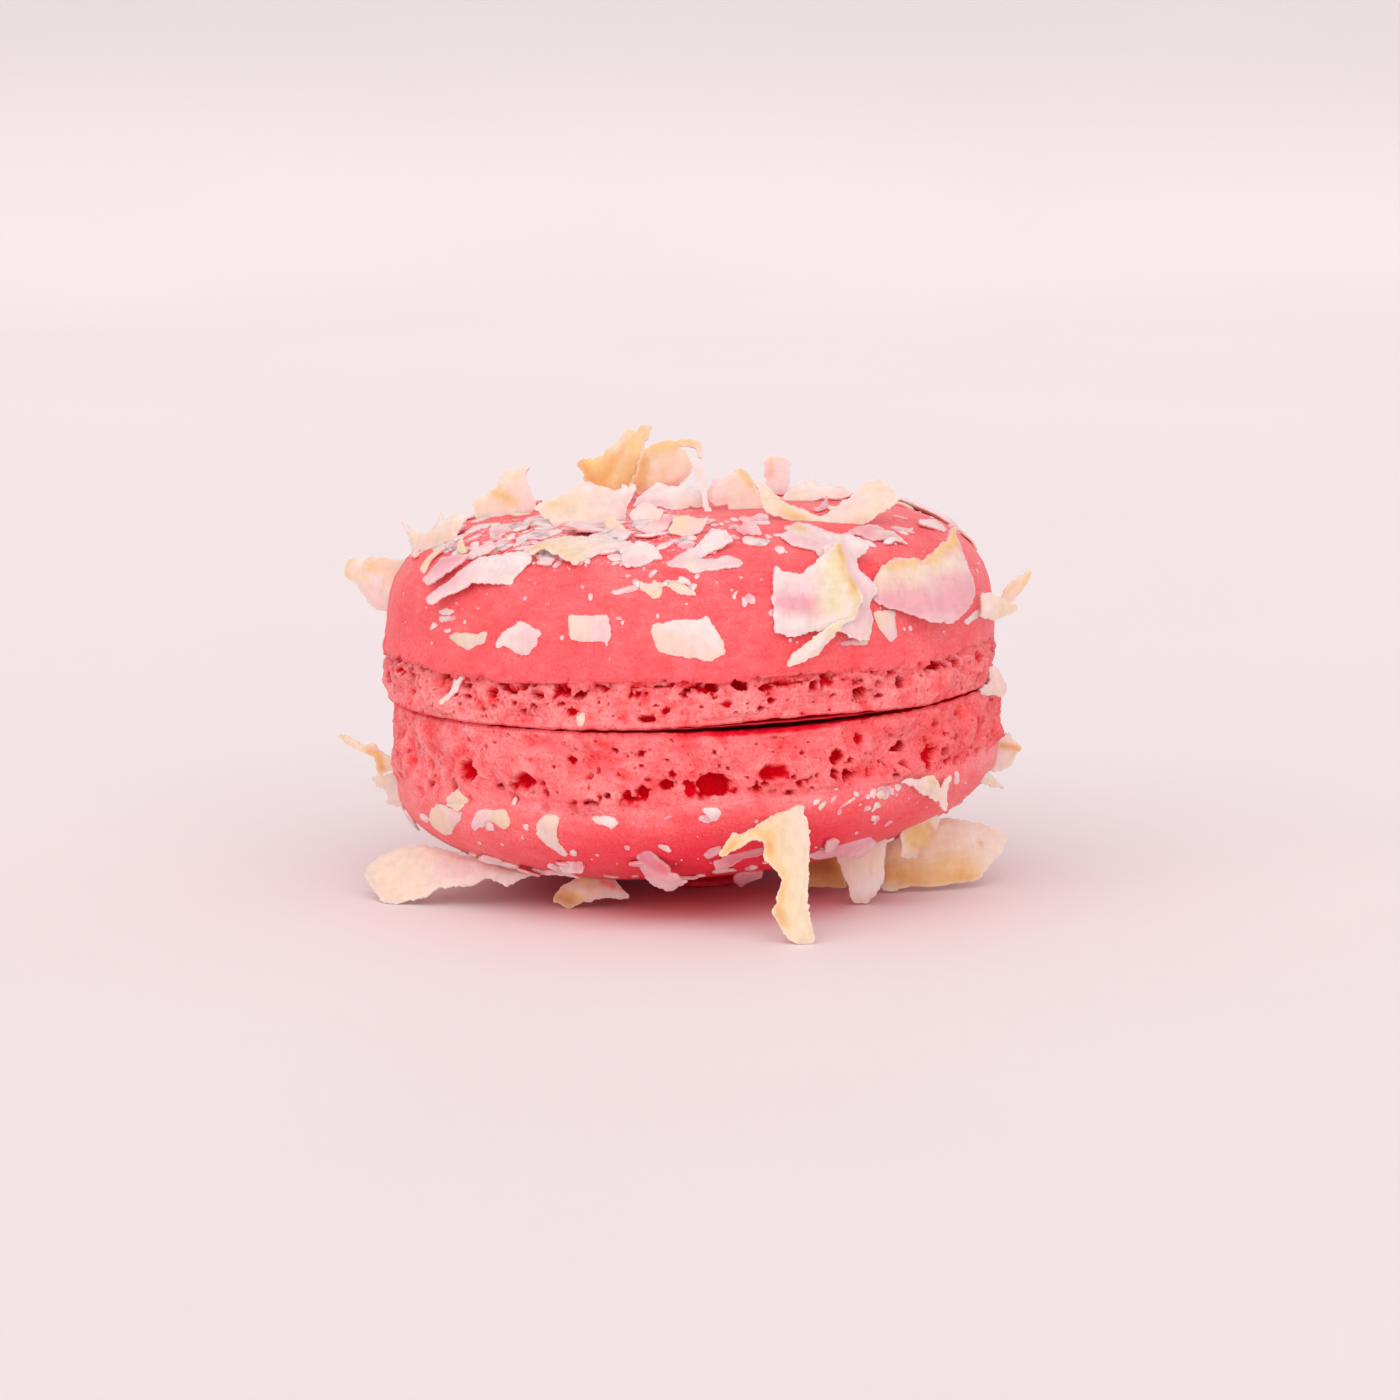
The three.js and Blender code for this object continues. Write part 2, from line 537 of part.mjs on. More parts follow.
    high: [0.6, 0.8, 0.8, 0.6], low: [0.6, 0.8, 0.8, 0.4] },
  { name: "chip_hanging_pink", at: [-2.2, -18.5, 3.9], face: [-6, 128, -32], length: 4.6, arch: 0.08,
    high: [0.6, 1.2, 1.2, 0.9, 0.4], low: [0.8, 1.2, 1.0, 1.2, 0.5] },
  { name: "chip_hanging_strip", at: [3.1, -17.9, 4.2], face: [10, 126, 18], length: 4.0, arch: 0.06,
    high: [0.5, 0.45, 0.45, 0.4], low: [0.6, 0.45, 0.45, 0.4] },
  { name: "chip_right_under", at: [11.1, -13.4, 4.5], face: [40, 130, 14], length: 7.0, arch: 0.06,
    high: [0.3, 0.6, 0.7, 0.5, 0.2], low: [0.5, 0.7, 1.0, 0.8, 0.3] },
  // standing on the table
  { name: "chip_leaning", at: [7.1, -23.0, 4.9], face: [8, 63, 90], length: 11.0, arch: 0.03,
    high: [0.1, 1.1, 1.4, 1.0, 0.9, 1.9, 2.0, 1.5, 1.1, -0.3],
    low: [1.4, 1.25, 1.15, 1.05, 1.05, 1.1, 1.15, 1.2, 0.9, 0.5],
    arm: { at: [4.6, -21.9, 7.3], face: [4, 68, 34], length: 6.4, arch: -0.05,
      high: [0.3, 0.5, 0.5, 0.6, 0.7], low: [0.3, 0.7, 0.5, 0.5, 0.6] } },
  { name: "chip_floor_left", at: [-18.1, -9.4, 1.9], face: [-26, 52, 4], length: 13.5, arch: 0.03, cup: 0.06,
    high: [0.9, 2.3, 2.7, 2.5, 2.1, 1.7, 0.5], low: [0.9, 2.3, 2.0, 1.3, 0.9, 1.3, 0.2] },
  { name: "chip_floor_toast", at: [-7.3, -10.6, 1.1], face: [-8, 68, -8], length: 5.8, cup: 0.2,
    high: [0.4, 1.2, 1.2, 0.9, 0.3], low: [0.9, 1.4, 0.7, 0.4, 0.2] },
  { name: "chip_floor_tooth", at: [12.2, -9.7, 2.0], face: [15, 106, 90], length: 4.8,
    high: [0.4, 1.0, 1.4, 1.7], low: [0.5, 1.0, 1.5, 1.6] },
  { name: "chip_floor_right", at: [18.6, -2.6, 2.4], face: [22, 76, 4], length: 10.0, arch: 0.05,
    high: [1.6, 2.4, 2.7, 2.7, 2.5, 2.0, 1.2], low: [2.5, 2.5, 2.3, 2.5, 2.2, 1.6, 0.3] },
  { name: "chip_floor_inner", at: [9.2, -5.2, 1.1], face: [0, 70, 4], length: 3.8,
    high: [1.2, 1.7, 1.7, 1.2], low: [1.0, 1.2, 1.2, 0.9] },
];

// Turns an index into a number from low to high.
const between = (low, high, index, seed) => low + (high - low) * chance(index, seed);

// Chips of the same kinds on the far side: on the crowns' shoulders, and standing on the table under the lower crown.
const FAR_CHIPS = [
  { name: "chip_far_upper", count: 6, azimuths: [110, 250], shell: UPPER, climb: [0.22, 0.5], tilt: [22, 50] },
  { name: "chip_far_lower", count: 3, azimuths: [120, 240], shell: LOWER, climb: [0.1, 0.25], tilt: [95, 115] },
  { name: "chip_far_floor", count: 4, azimuths: [125, 250], radius: [14, 17], height: [1.3, 1.6], tilt: [55, 75] },
];

function farPlace({ shell, climb, radius, height }, azimuth, i, seed) {
  if (!shell) return shellPoint(UPPER, azimuth, between(...radius, i, seed), between(...height, i, seed + 0.5));
  const surface = surfaceFrame(shell, { azimuth, climb: between(...climb, i, seed) });
  return new THREE.Vector3(0, 0, CHIP_THICKNESS).applyMatrix4(shellMatrix(shell).multiply(surface));
}

function farChips(kind, group) {
  const { name, count, azimuths, tilt } = kind;
  return Array.from({ length: count }, (_, i) => {
    const seed = 31 + 10 * group;
    const azimuth = azimuths[0] + ((azimuths[1] - azimuths[0]) * (i + 0.6 * chance(i, seed))) / count;
    const size = between(0.8, 1.35, i, seed + 2);
    const edge = (shift) => Array.from({ length: 5 }, (_, k) =>
      size * (0.35 + 1.15 * Math.sin((Math.PI * (k + 0.6)) / 5.2) * between(0.7, 1.2, k + 5 * i, seed + shift)));
    return {
      name: `${name}_${i + 1}`,
      at: farPlace(kind, azimuth, i, seed + 1).toArray(),
      face: [azimuth + between(-20, 20, i, seed + 4), between(...tilt, i, seed + 5), between(-30, 30, i, seed + 6)],
      length: 5.6 * size,
      cup: between(0, 0.15, i, seed + 7),
      arch: between(0, 0.08, i, seed + 8),
      high: edge(9),
      low: edge(9.5),
    };
  });
}

// The thick chip that lies flat on the table right under the crown. Its underside is the part's rest face.
const PAD_CHIP = { name: "chip_pad", at: [0.4, 0.2, 0.4], face: [20, 0, 0], length: 7.5, thickness: 1.15,
  high: [1.6, 2.2, 2.5, 2.1, 1.5], low: [1.4, 2.1, 2.4, 2.3, 1.3] };

// ----------------------------------------------------------------------------------------------------- the filling

function fillingGeometry() {
  const { radius, thickness, waves } = FILLING;
  const geometry = new THREE.LatheGeometry(
    [
      new THREE.Vector2(0, -thickness / 2),
      new THREE.Vector2(radius - 0.2, -thickness / 2),
      new THREE.Vector2(radius, 0),
      new THREE.Vector2(radius - 0.2, thickness / 2),
      new THREE.Vector2(0, thickness / 2),
    ],
    40,
  );
  geometry.rotateX(Math.PI / 2);
  const position = geometry.attributes.position;
  for (let i = 0; i < position.count; i++) {
    const azimuth = Math.atan2(position.getX(i), -position.getY(i));
    const lifted = 0.5 * (lift(UPPER, azimuth) + lift(LOWER, azimuth)) * rimShare(Math.hypot(position.getX(i), position.getY(i)));
    const stretch = 1 - (waves * (1 + Math.sin(4 * azimuth) * Math.cos(7 * azimuth))) / radius;
    position.setXYZ(i, position.getX(i) * stretch, position.getY(i) * stretch, position.getZ(i) + lifted);
  }
  return geometry;
}

// -------------------------------------------------------------------------------------------------------- assembly

const finish = (color, roughness) => new THREE.MeshStandardMaterial({ color, roughness, metalness: 0 });
const SHELL_FINISH = finish(0xf9686f, 0.55);
const FILLING_FINISH = finish(0xb00f2a, 0.35);
const COCONUT_FINISH = finish(0xf6dcc8, 0.6);

const table = solidOf(new THREE.BoxGeometry(120, 120, 10), new THREE.Matrix4().makeTranslation(0, 0, -5));
const chips = [PAD_CHIP, ...CHIPS, ...FAR_CHIPS.flatMap(farChips)].map(sized);
const keepClear = [table, ...[UPPER, LOWER].map((shell) => solidOf(shellGeometry(shell, CONTACT_GAP), shellMatrix(shell)))];
const chipSolids = chips.map((chip) => {
  const cut = keepClear.reduce((solid, other) => solid.subtract(other), chipSolid(chip));
  keepClear.push(chipSolid(chip, CONTACT_GAP));
  return largest(cut);
});

function shellSolid(shell) {
  const matrix = shellMatrix(shell);
  const holed = holesOf(shell).reduce((solid, hole) => solid.subtract(hole), solidOf(shellGeometry(shell)));
  const dressed = crumbsOf(shell).reduce((solid, { place, length, width }, i) => {
    const room = crumbSolid(matrix.clone().multiply(place), length, width, i, CONTACT_GAP);
    const crowded = chipSolids.some((chip) => chip.intersect(room).volume() > 0);
    return crowded ? solid : solid.add(crumbSolid(place, length, width, i));
  }, holed);
  return largest(dressed);
}

const part = new THREE.Group();

function addMesh(name, geometry, material, matrix = new THREE.Matrix4()) {
  const mesh = new THREE.Mesh(geometry, material);
  mesh.name = name;
  mesh.applyMatrix4(matrix);
  part.add(mesh);
}

for (const shell of [UPPER, LOWER]) addMesh(shell.name, geometryOf(shellSolid(shell)), SHELL_FINISH, shellMatrix(shell));
addMesh("filling", fillingGeometry(), FILLING_FINISH,
  macaronMatrix.clone().multiply(new THREE.Matrix4().makeTranslation(0, 0, SEAM_GAP / 2)));
chipSolids.forEach((solid, i) => addMesh(chips[i].name, geometryOf(solid), COCONUT_FINISH));

export default part;
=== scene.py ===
"""The looks of a pink French macaron with toasted coconut chips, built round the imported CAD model.

Shapes are worked out in millimetres in the CAD model's frame: +Z up, the front towards -Y, and the origin
on the table under the middle of the shells. They are scaled to metres when a mesh is made. An azimuth is
round +Z, 0 at the front and positive towards +X, in degrees in the tables and in radians in the functions.
"""

import math
from dataclasses import dataclass, replace

import bpy
import numpy as np
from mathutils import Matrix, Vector
from mathutils.geometry import delaunay_2d_cdt


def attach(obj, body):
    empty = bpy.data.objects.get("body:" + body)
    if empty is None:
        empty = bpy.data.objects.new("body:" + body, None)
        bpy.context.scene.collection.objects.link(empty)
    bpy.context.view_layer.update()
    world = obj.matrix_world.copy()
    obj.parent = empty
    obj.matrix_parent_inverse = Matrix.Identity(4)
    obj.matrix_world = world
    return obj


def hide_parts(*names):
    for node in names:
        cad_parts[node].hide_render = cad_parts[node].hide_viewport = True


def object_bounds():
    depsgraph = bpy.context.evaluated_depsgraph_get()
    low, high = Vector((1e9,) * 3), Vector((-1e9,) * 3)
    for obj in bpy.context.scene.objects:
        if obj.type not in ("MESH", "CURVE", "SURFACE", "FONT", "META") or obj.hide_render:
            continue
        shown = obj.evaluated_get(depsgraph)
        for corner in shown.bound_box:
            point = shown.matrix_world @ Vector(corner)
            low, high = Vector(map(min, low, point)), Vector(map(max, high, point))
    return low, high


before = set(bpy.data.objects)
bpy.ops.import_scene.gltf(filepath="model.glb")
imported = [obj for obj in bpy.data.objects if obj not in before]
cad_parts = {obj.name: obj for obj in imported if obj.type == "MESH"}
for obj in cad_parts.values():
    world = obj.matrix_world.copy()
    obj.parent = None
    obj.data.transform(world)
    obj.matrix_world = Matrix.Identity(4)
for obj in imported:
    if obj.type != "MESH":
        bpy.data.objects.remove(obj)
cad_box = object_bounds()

MM = 0.001

# ---------------------------------------------------------- driving dimensions, as in the CAD model

REST_HEIGHT = 1.3  # lowest point of the lower crown, over the table
SEAM_GAP = 0.2
CREASE = 0.25  # depth of the crease between a foot and its crown
CREASE_REACH = 0.32
RUFFLE = 0.42  # how far the foot's ruffles stand in and out
ROLL = -1.05  # degrees, right side up
PITCH = -0.36  # degrees, front up
FILLING_RADIUS = 19.5
FILLING_RIM = 21.5  # how far the thin smear reaches between the feet
FILLING_THICKNESS = 0.5
FILLING_WAVES = 0.16  # how far its rim waves in
RECESS = 0.3  # depth of the hollow in each flat face that holds the filling
CHIP_THICKNESS = 0.5


@dataclass(frozen=True)
class Shell:
    """One meringue shell, modelled with its flat face at z = 0 and its crown up. Side -1 turns it over."""

    name: str
    side: int
    radius: float
    shift: float  # of its middle, towards +X
    foot_height: float
    crown_height: float
    crown_power: float  # 2 is an ellipse, and more is squarer
    lean: float  # slope of the skin's edge and the crown, up towards +X
    seed: int
    lifts: tuple  # azimuth, width and rise of each place where the rim is lifted


UPPER = Shell("upper_shell", 1, 22.2, -0.1, 3.5, 10.0, 3.6, 0.008, 1, ((24, 26, 0.75), (68, 18, 0.7)))
LOWER = Shell("lower_shell", -1, 21.95, 0.2, 5.1, 7.9, 2.1, 0.051, 4, ((38, 18, 0.25), (68, 20, 0.66)))
SEAM_HEIGHT = REST_HEIGHT + LOWER.crown_height + LOWER.foot_height

# ------------------------------------------------------------------------------------------ colours


def srgb(red, green, blue):
    """A screen colour, 0 to 255, as linear light, by the sRGB standard's curve."""
    share = np.array((red, green, blue)) / 255
    return np.where(share < 0.04045, share / 12.92, ((share + 0.055) / 1.055) ** 2.4)


SKIN = srgb(252, 104, 108)
SKIN_PALE = srgb(255, 132, 135)
SKIN_DEEP = srgb(250, 48, 74)
# the foam's colour on its lumps, and the painted shade of its valleys
FOOT = srgb(255, 148, 149)
FOAM_VALLEY_SHADE = srgb(252, 32, 46)
# painted shade deep in the air holes, crags, cracks and pinholes
PIT = srgb(222, 4, 30)
CRIMSON = srgb(230, 12, 42)

WHITE = srgb(250, 228, 222)
CREAM = srgb(248, 218, 202)
BLUSH = srgb(249, 210, 208)
PINK = srgb(245, 176, 182)
ROSE = srgb(241, 136, 150)
IVORY = srgb(247, 216, 190)
PEACH = srgb(248, 204, 180)
STRAW = srgb(243, 216, 178)
HONEY = srgb(247, 200, 138)
GOLD = srgb(244, 194, 132)
TOAST = srgb(234, 165, 92)
BROWN = srgb(204, 130, 76)
# what the pink dust of the shells leaves of the colour of a chip where it lies on it; and of a flake, that
# dust together with painted pink bounce light in its shade
DUST = np.array((1.0, 0.87, 0.9))
FLAKE_DUST_AND_BOUNCE = np.array((0.98, 0.92, 0.92))

FLOOR = srgb(240, 228, 229)
FLOOR_BOUNCE_TINT = srgb(255, 140, 154)  # under the macaron: painted red bounce light and shadow
WALL = srgb(216, 207, 208)

# ---------------------------------------------------------------------------------- small functions


def chance(index, seed):
    """A repeatable number from 0 to 1 for each pair of numbers."""
    wave = np.sin(np.asarray(index) * 12.9898 + seed * 78.233) * 43758.5453
    return wave - np.floor(wave)


def between(low, high, index, seed):
    return low + (high - low) * chance(index, seed)


def smooth(value, start, end):
    """0 before start, 1 after end, and a smooth step between them."""
    share = np.clip((value - start) / (end - start), 0, 1)
    return share * share * (3 - 2 * share)


def hump(value, middle, width):
    """1 at the middle, and nearly 0 from twice the width away."""
    return np.exp(-(((value - middle) / width) ** 2))


def mixed(first, second, share):
    """The first colour where the share is 0, and the second where it is 1."""
    share = np.asarray(share)[..., None]
    return first * (1 - share) + second * share


def lattice(corner, seed):
    """Repeatable numbers from -1 to 1 at whole-number places, which are rows of three."""
    mixed_up = (corner * np.array((73856093, 19349663, 83492791))).sum(-1) + seed * 2654435
    bits = mixed_up.astype(np.uint32)
    for turn in (15, 13, 16):
        bits = (bits ^ (bits >> np.uint32(turn))) * np.uint32(2246822519)
    return (bits ^ (bits >> np.uint32(15))) / 2.0**31 - 1


NOISE_GAIN = 1.6  # brings the noise to about -1 to 1


def noise(places, size, seed=0):
    """Smooth gradient noise from about -1 to 1, whose lumps are `size` across."""
    scaled = places / size + 0.37 * seed
    base = np.floor(scaled)
    inside = scaled - base
    fade = inside**3 * (inside * (6 * inside - 15) + 10)
    total = np.zeros(len(places))
    for corner in np.ndindex(2, 2, 2):
        at = base.astype(np.int64) + corner
        away = inside - corner
        slope = sum(lattice(at, seed * 3 + axis) * away[:, axis] for axis in range(3))
        total += slope * np.prod(np.where(corner, fade, 1 - fade), axis=1)
    return NOISE_GAIN * total


def flat_noise(across, along, size, seed):
    """The same noise over a plane, for arrays of any one shape."""
    places = np.stack([np.ravel(across), np.ravel(along), np.full(np.size(across), 0.5)], -1)
    return noise(places, size, seed).reshape(np.shape(across))


def layered(x, y, layers, seed):
    """Layers of that noise, each with its height and the size of its lumps."""
    return sum(high * flat_noise(x, y, size, seed + k) for k, (high, size) in enumerate(layers))


def translation(x, y, z):
    matrix = np.eye(4)
    matrix[:3, 3] = x, y, z
    return matrix


def rotation(axis, degrees):
    """A turn round "X", "Y" or "Z"."""
    cosine, sine = math.cos(math.radians(degrees)), math.sin(math.radians(degrees))
    first, second = {"X": (1, 2), "Y": (2, 0), "Z": (0, 1)}[axis]
    matrix = np.eye(4)
    matrix[first, first] = matrix[second, second] = cosine
    matrix[first, second], matrix[second, first] = -sine, sine
    return matrix


def placed(matrix, points):
    return points @ matrix[:3, :3].T + matrix[:3, 3]


def unit(vectors):
    return vectors / np.maximum(np.linalg.norm(vectors, axis=-1, keepdims=True), 1e-12)


# ------------------------------------------------------------------------------------------- meshes


def grid_triangles(columns, rows, closed=False):
    """Triangles of a grid whose points run up each column. A closed grid's last column joins its first."""
    column = np.arange(columns if closed else columns - 1)[:, None]
    row = np.arange(rows - 1)
    here = column * rows + row
    beside = ((column + 1) % columns) * rows + row
    lower = np.stack([here, beside, beside + 1], -1).reshape(-1, 3)
    upper = np.stack([here, beside + 1, here + 1], -1).reshape(-1, 3)
    return np.concatenate([lower, upper])


def without_waste(points, triangles, colours):
    """Drops flat triangles and the points that no triangle uses."""
    same = (triangles == np.roll(triangles, 1, axis=1)).any(1)
    used, triangles = np.unique(triangles[~same], return_inverse=True)
    return points[used], triangles.reshape(-1, 3), colours[used]


def joined(parts):
    """Several (points, triangles, colours) as one."""
    starts = np.cumsum([0] + [len(points) for points, _, _ in parts[:-1]])
    return (
        np.concatenate([points for points, _, _ in parts]),
        np.concatenate([triangles + start for (_, triangles, _), start in zip(parts, starts)]),
        np.concatenate([colours for _, _, colours in parts]),
    )


BOX_LOW, BOX_HIGH = (np.array(corner) / MM for corner in cad_box)
BOX_MARGIN = 0.005
SHARP_ANGLE = math.radians(48)


def add_piece(name, points, triangles, colours, material, slot, nodes, crisp=False):
    """Makes a mesh with a colour at each point, inside the CAD model's box, for the given nodes."""
    points = np.clip(points, BOX_LOW + BOX_MARGIN, BOX_HIGH - BOX_MARGIN)
    mesh = bpy.data.meshes.new(name)
    mesh.vertices.add(len(points))
    mesh.vertices.foreach_set("co", (points * MM).astype(np.float32).ravel())
    mesh.loops.add(triangles.size)
    mesh.loops.foreach_set("vertex_index", triangles.astype(np.int32).ravel())
    mesh.polygons.add(len(triangles))
    mesh.polygons.foreach_set("loop_start", np.arange(0, triangles.size, 3, dtype=np.int32))
    mesh.update(calc_edges=True)
    mesh.validate()
    mesh.shade_smooth()
    if crisp:
        mesh.set_sharp_from_angle(angle=SHARP_ANGLE)
    layer = mesh.color_attributes.new("surface", "FLOAT_COLOR", "POINT")
    layer.data.foreach_set("color", colours.astype(np.float32).ravel())
    piece = bpy.data.objects.new(name, mesh)
    bpy.context.scene.collection.objects.link(piece)
    mesh.materials.append(material)
    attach(piece, "root")
    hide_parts(*nodes)
    return piece


# ------------------------------------------------------------------------------ the form of a shell

MACARON = translation(0, 0, SEAM_HEIGHT) @ rotation("X", PITCH) @ rotation("Y", ROLL)


def shell_matrix(shell):
    """Puts a shell's own frame, with its flat face at z = 0, into the macaron."""
    if shell.side > 0:
        return MACARON @ translation(0, 0, SEAM_GAP)
    return MACARON @ rotation("X", 180)


RUFFLE_WAVES = (7, 11, 17, 23, 31)
RUFFLE_DRIFT = 1.3  # how the waves lean as they rise
WANDER = (0.16, 0.1)  # how far the skin's edge wanders up and down, in 5 waves and in 9
OUT_OF_ROUND = (0.005, 0.004)  # shares of the radius, in 2 waves and in 3
EDGE_REACH = 1.6  # how far from the skin's edge its ups and downs reach


def ruffle(azimuth, height, seed):
    """Uneven waves round a shell, from about -1 to 1."""
    total = 0
    for i, waves in enumerate(RUFFLE_WAVES):
        drift = RUFFLE_DRIFT if i % 2 else -RUFFLE_DRIFT
        total = total + np.sin(waves * azimuth + drift * height + 2.4 * (i + seed)) / (i + 2)
    return total


def rim_share(radius):
    """The lifts leave the middle of a shell where it is."""
    return smooth(radius, 0.6 * FILLING_RADIUS, FILLING_RADIUS)


def lift(shell, azimuth):
    """How far the rim is lifted at an azimuth in radians."""
    degrees = np.degrees(azimuth)
    return sum(rise * hump(degrees, middle, width) for middle, width, rise in shell.lifts)


def uneven(shell, points):
    """Moves points of the turned profile to where the real, uneven shell has them."""
    x, y, z = points.T
    radius = np.hypot(x, y)
    azimuth = np.arctan2(x, -shell.side * y)
    in_foot = np.clip(z / shell.foot_height, 0, 1)
    rim = rim_share(radius)
    skin_edge = hump(z, shell.foot_height, EDGE_REACH)
    foot_wall = smooth(z, 0, 0.9) * (1 - smooth(z, shell.foot_height - 0.6, shell.foot_height + 0.2))
    wide, fine = WANDER
    wander = wide * np.sin(5 * azimuth + shell.seed) + fine * np.sin(9 * azimuth - 2 * shell.seed)
    oval, corners = OUT_OF_ROUND
    out_of_round = oval * np.sin(2 * azimuth + shell.seed) + corners * np.sin(3 * azimuth - shell.seed)
    stretch = 1 + out_of_round + RUFFLE * foot_wall * ruffle(azimuth, z, shell.seed) / shell.radius
    tilt = in_foot * shell.side * shell.lean * x
    lifted = shell.side * lift(shell, azimuth) * rim * (1 - in_foot)
    height = z + tilt + lifted + wander * skin_edge * rim
    return np.stack([x * stretch + shell.shift, y * stretch, height], -1)


def on_circle(shell, azimuth, radius, height):
    """Points at azimuths in radians, in a shell's own frame, before it is made uneven."""
    azimuth, radius, height = np.broadcast_arrays(azimuth, radius, height)
    return np.stack([radius * np.sin(azimuth), -shell.side * radius * np.cos(azimuth), height], -1)


def crown_profile(shell, climb):
    """Radius and height of the crown at a climb from 0, the skin's edge, to 1, the crown's middle."""
    turn = np.asarray(climb) * math.pi / 2
    power = 2 / shell.crown_power
    radius = shell.radius * np.abs(np.cos(turn)) ** power
    return radius, shell.foot_height + shell.crown_height * np.sin(turn) ** power


def spaced(start, end, step):
    """Evenly spaced values from start to end, no further apart than step, without the end."""
    return np.linspace(start, end, max(1, math.ceil(abs(end - start) / step)), endpoint=False)


FOOT_ROUNDING = 0.06  # of the corner between a foot's wall and the flat face


class Outline:
    """The profile of a shell as a dense line, from the rim of its flat face to the crown's middle."""

    def __init__(self, shell):
        foot, height = shell.radius, shell.foot_height
        rounding = FOOT_ROUNDING
        corner = np.linspace(0, math.pi / 2, 12, endpoint=False)
        corner_radius = foot - rounding + rounding * np.sin(corner)
        corner_height = rounding - rounding * np.cos(corner)
        wall = spaced(rounding, height, 0.02)
        crown_radius, crown_height = crown_profile(shell, np.linspace(0, 1, 4000) ** 2)
        self.radius = np.concatenate([corner_radius, np.full(len(wall), foot), crown_radius])
        self.height = np.concatenate([corner_height, wall, crown_height])
        self.radius -= CREASE * hump(self.height, height, CREASE_REACH)
        steps = np.hypot(np.diff(self.radius), np.diff(self.height))
        self.length = np.concatenate([[0], np.cumsum(steps)])
        self.skin_edge = float(np.interp(height, self.height, self.length))

    def at(self, length):
        return np.interp(length, self.length, self.radius), np.interp(length, self.length, self.height)

    def of_height(self, height):
        """How far along the line a height on the foot's wall is."""
        return float(np.interp(height, self.height, self.length))

    def of_climb(self, shell, climb):
        """How far along the line a climb on the crown is."""
        return self.of_height(float(crown_profile(shell, climb)[1]))


OUTLINES = {shell.name: Outline(shell) for shell in (UPPER, LOWER)}


def on_shell(shell, azimuth, length):
    """Points of a shell's skin at azimuths in radians and lengths along its outline."""
    radius, height = OUTLINES[shell.name].at(length)
    points = on_circle(shell, azimuth, radius, height)
    return uneven(shell, points.reshape(-1, 3)).reshape(points.shape)


def shell_normals(shell, azimuth, length, turn=0.004, rise=0.06):
    """Normals of the skin, from places a small turn and rise to either side."""
    around = on_shell(shell, azimuth + turn, length) - on_shell(shell, azimuth - turn, length)
    up = on_shell(shell, azimuth, length + rise) - on_shell(shell, azimuth, length - rise)
    return unit(shell.side * np.cross(around, up))


# --------------------------------------------------------------------------- the surface of a shell

WALL_STEP = 0.115  # between the rows of the mesh, on the foot
FINE_BAND = 0.6  # and as far over the skin's edge as this
STEP_GROWTH = 1.3  # from row to row, over the crown
WIDEST_STEP = 1.4
MOST_TRIANGLES = 194000  # in one shell
FACE_RADII = (0.985, 0.955, 0.93, 0.9, 0.6, 0.3)  # shares of the shell's radius, from the rim inwards
PUFF_TOP = 0.32
# azimuth, height over the flat face, half width, half height: the large air holes that show from the front
HOLES = {
    "upper_shell": (
        (-34, 2.9, 0.5, 0.35), (-8, 0.8, 0.6, 0.3), (4, 3.0, 0.4, 0.35), (17, 2.9, 0.8, 0.4),
        (32, 1.6, 0.5, 0.7), (42, 2.3, 0.5, 0.5), (52, 3.1, 0.9, 0.4),
    ),
    "lower_shell": (
        (-47, 2.9, 1.0, 0.65), (-33, 3.3, 0.8, 0.6), (-13, 4.5, 0.6, 0.4), (3, 3.9, 1.3, 0.95),
        (14, 3.2, 1.2, 0.6), (27, 2.5, 0.65, 0.5), (42, 2.6, 0.7, 0.45),
    ),
}
HIDDEN_HOLES = 5  # as large as those, round the sides and the back
HIDDEN_START, HIDDEN_ARC = 75, 210
HOLE_DEPTH = 1.05
LIP_HEIGHT = 0.07
WIDE_HOLE = 0.6  # half width from which a hole's wall slopes


@dataclass(frozen=True)
class Brink:
    """The broken edge of the skin: how wide its border is, how proud it stands, and the hollow in the foam
    below it. calm is the share of the foam's lumps that is left beside the seam, and calm_heights is where
    they grow back."""

    border: float
    ledge: float
    hollow: float
    calm: float
    calm_heights: tuple


BRINKS = {
    "upper_shell": Brink(0.14, 0.3, 0.2, 0.4, (0.25, 0.9)),
    "lower_shell": Brink(0.5, 0.06, 0.0, 0.65, (0.1, 0.6)),
}


@dataclass(frozen=True)
class Pores:
    """Air holes strewn by a rule. Their sizes are half widths, and their heights shares of the foot's."""

    count: int
    sizes: tuple
    heights: tuple
    depth: float


PORES = (
    Pores(64, (0.22, 0.62), (0.7, 0.98), 0.95),
    Pores(80, (0.14, 0.4), (0.2, 0.98), 0.5),
    Pores(150, (0.09, 0.18), (0.06, 1.0), 0.22),
)


def air_holes(shell):
    """(azimuth in degrees, height, half width, half height, depth, seed) of every air hole of a shell."""
    hidden = [
        (
            HIDDEN_START + (i + chance(i, 11)) * HIDDEN_ARC / HIDDEN_HOLES,
            shell.foot_height * between(0.3, 0.8, i, 12 + shell.seed),
            between(0.45, 1.15, i, 13),
            between(0.35, 0.75, i, 14),
        )
        for i in range(HIDDEN_HOLES)
    ]
    holes = [(*hole, HOLE_DEPTH, k) for k, hole in enumerate((*HOLES[shell.name], *hidden))]
    for group, pores in enumerate(PORES):
        seed = 50 + 10 * group + shell.seed
        for i in range(pores.count):
            azimuth = 360 * (i + chance(i, seed)) / pores.count - 180
            height = shell.foot_height * between(*pores.heights, i, seed + 1)
            half_width = between(*pores.sizes, i, seed + 2) * between(0.7, 1.2, i, seed + 3)
            half_height = half_width * between(0.55, 1.0, i, seed + 4)
            holes.append((azimuth, height, half_width, half_height, pores.depth, 100 * group + i))
    return holes


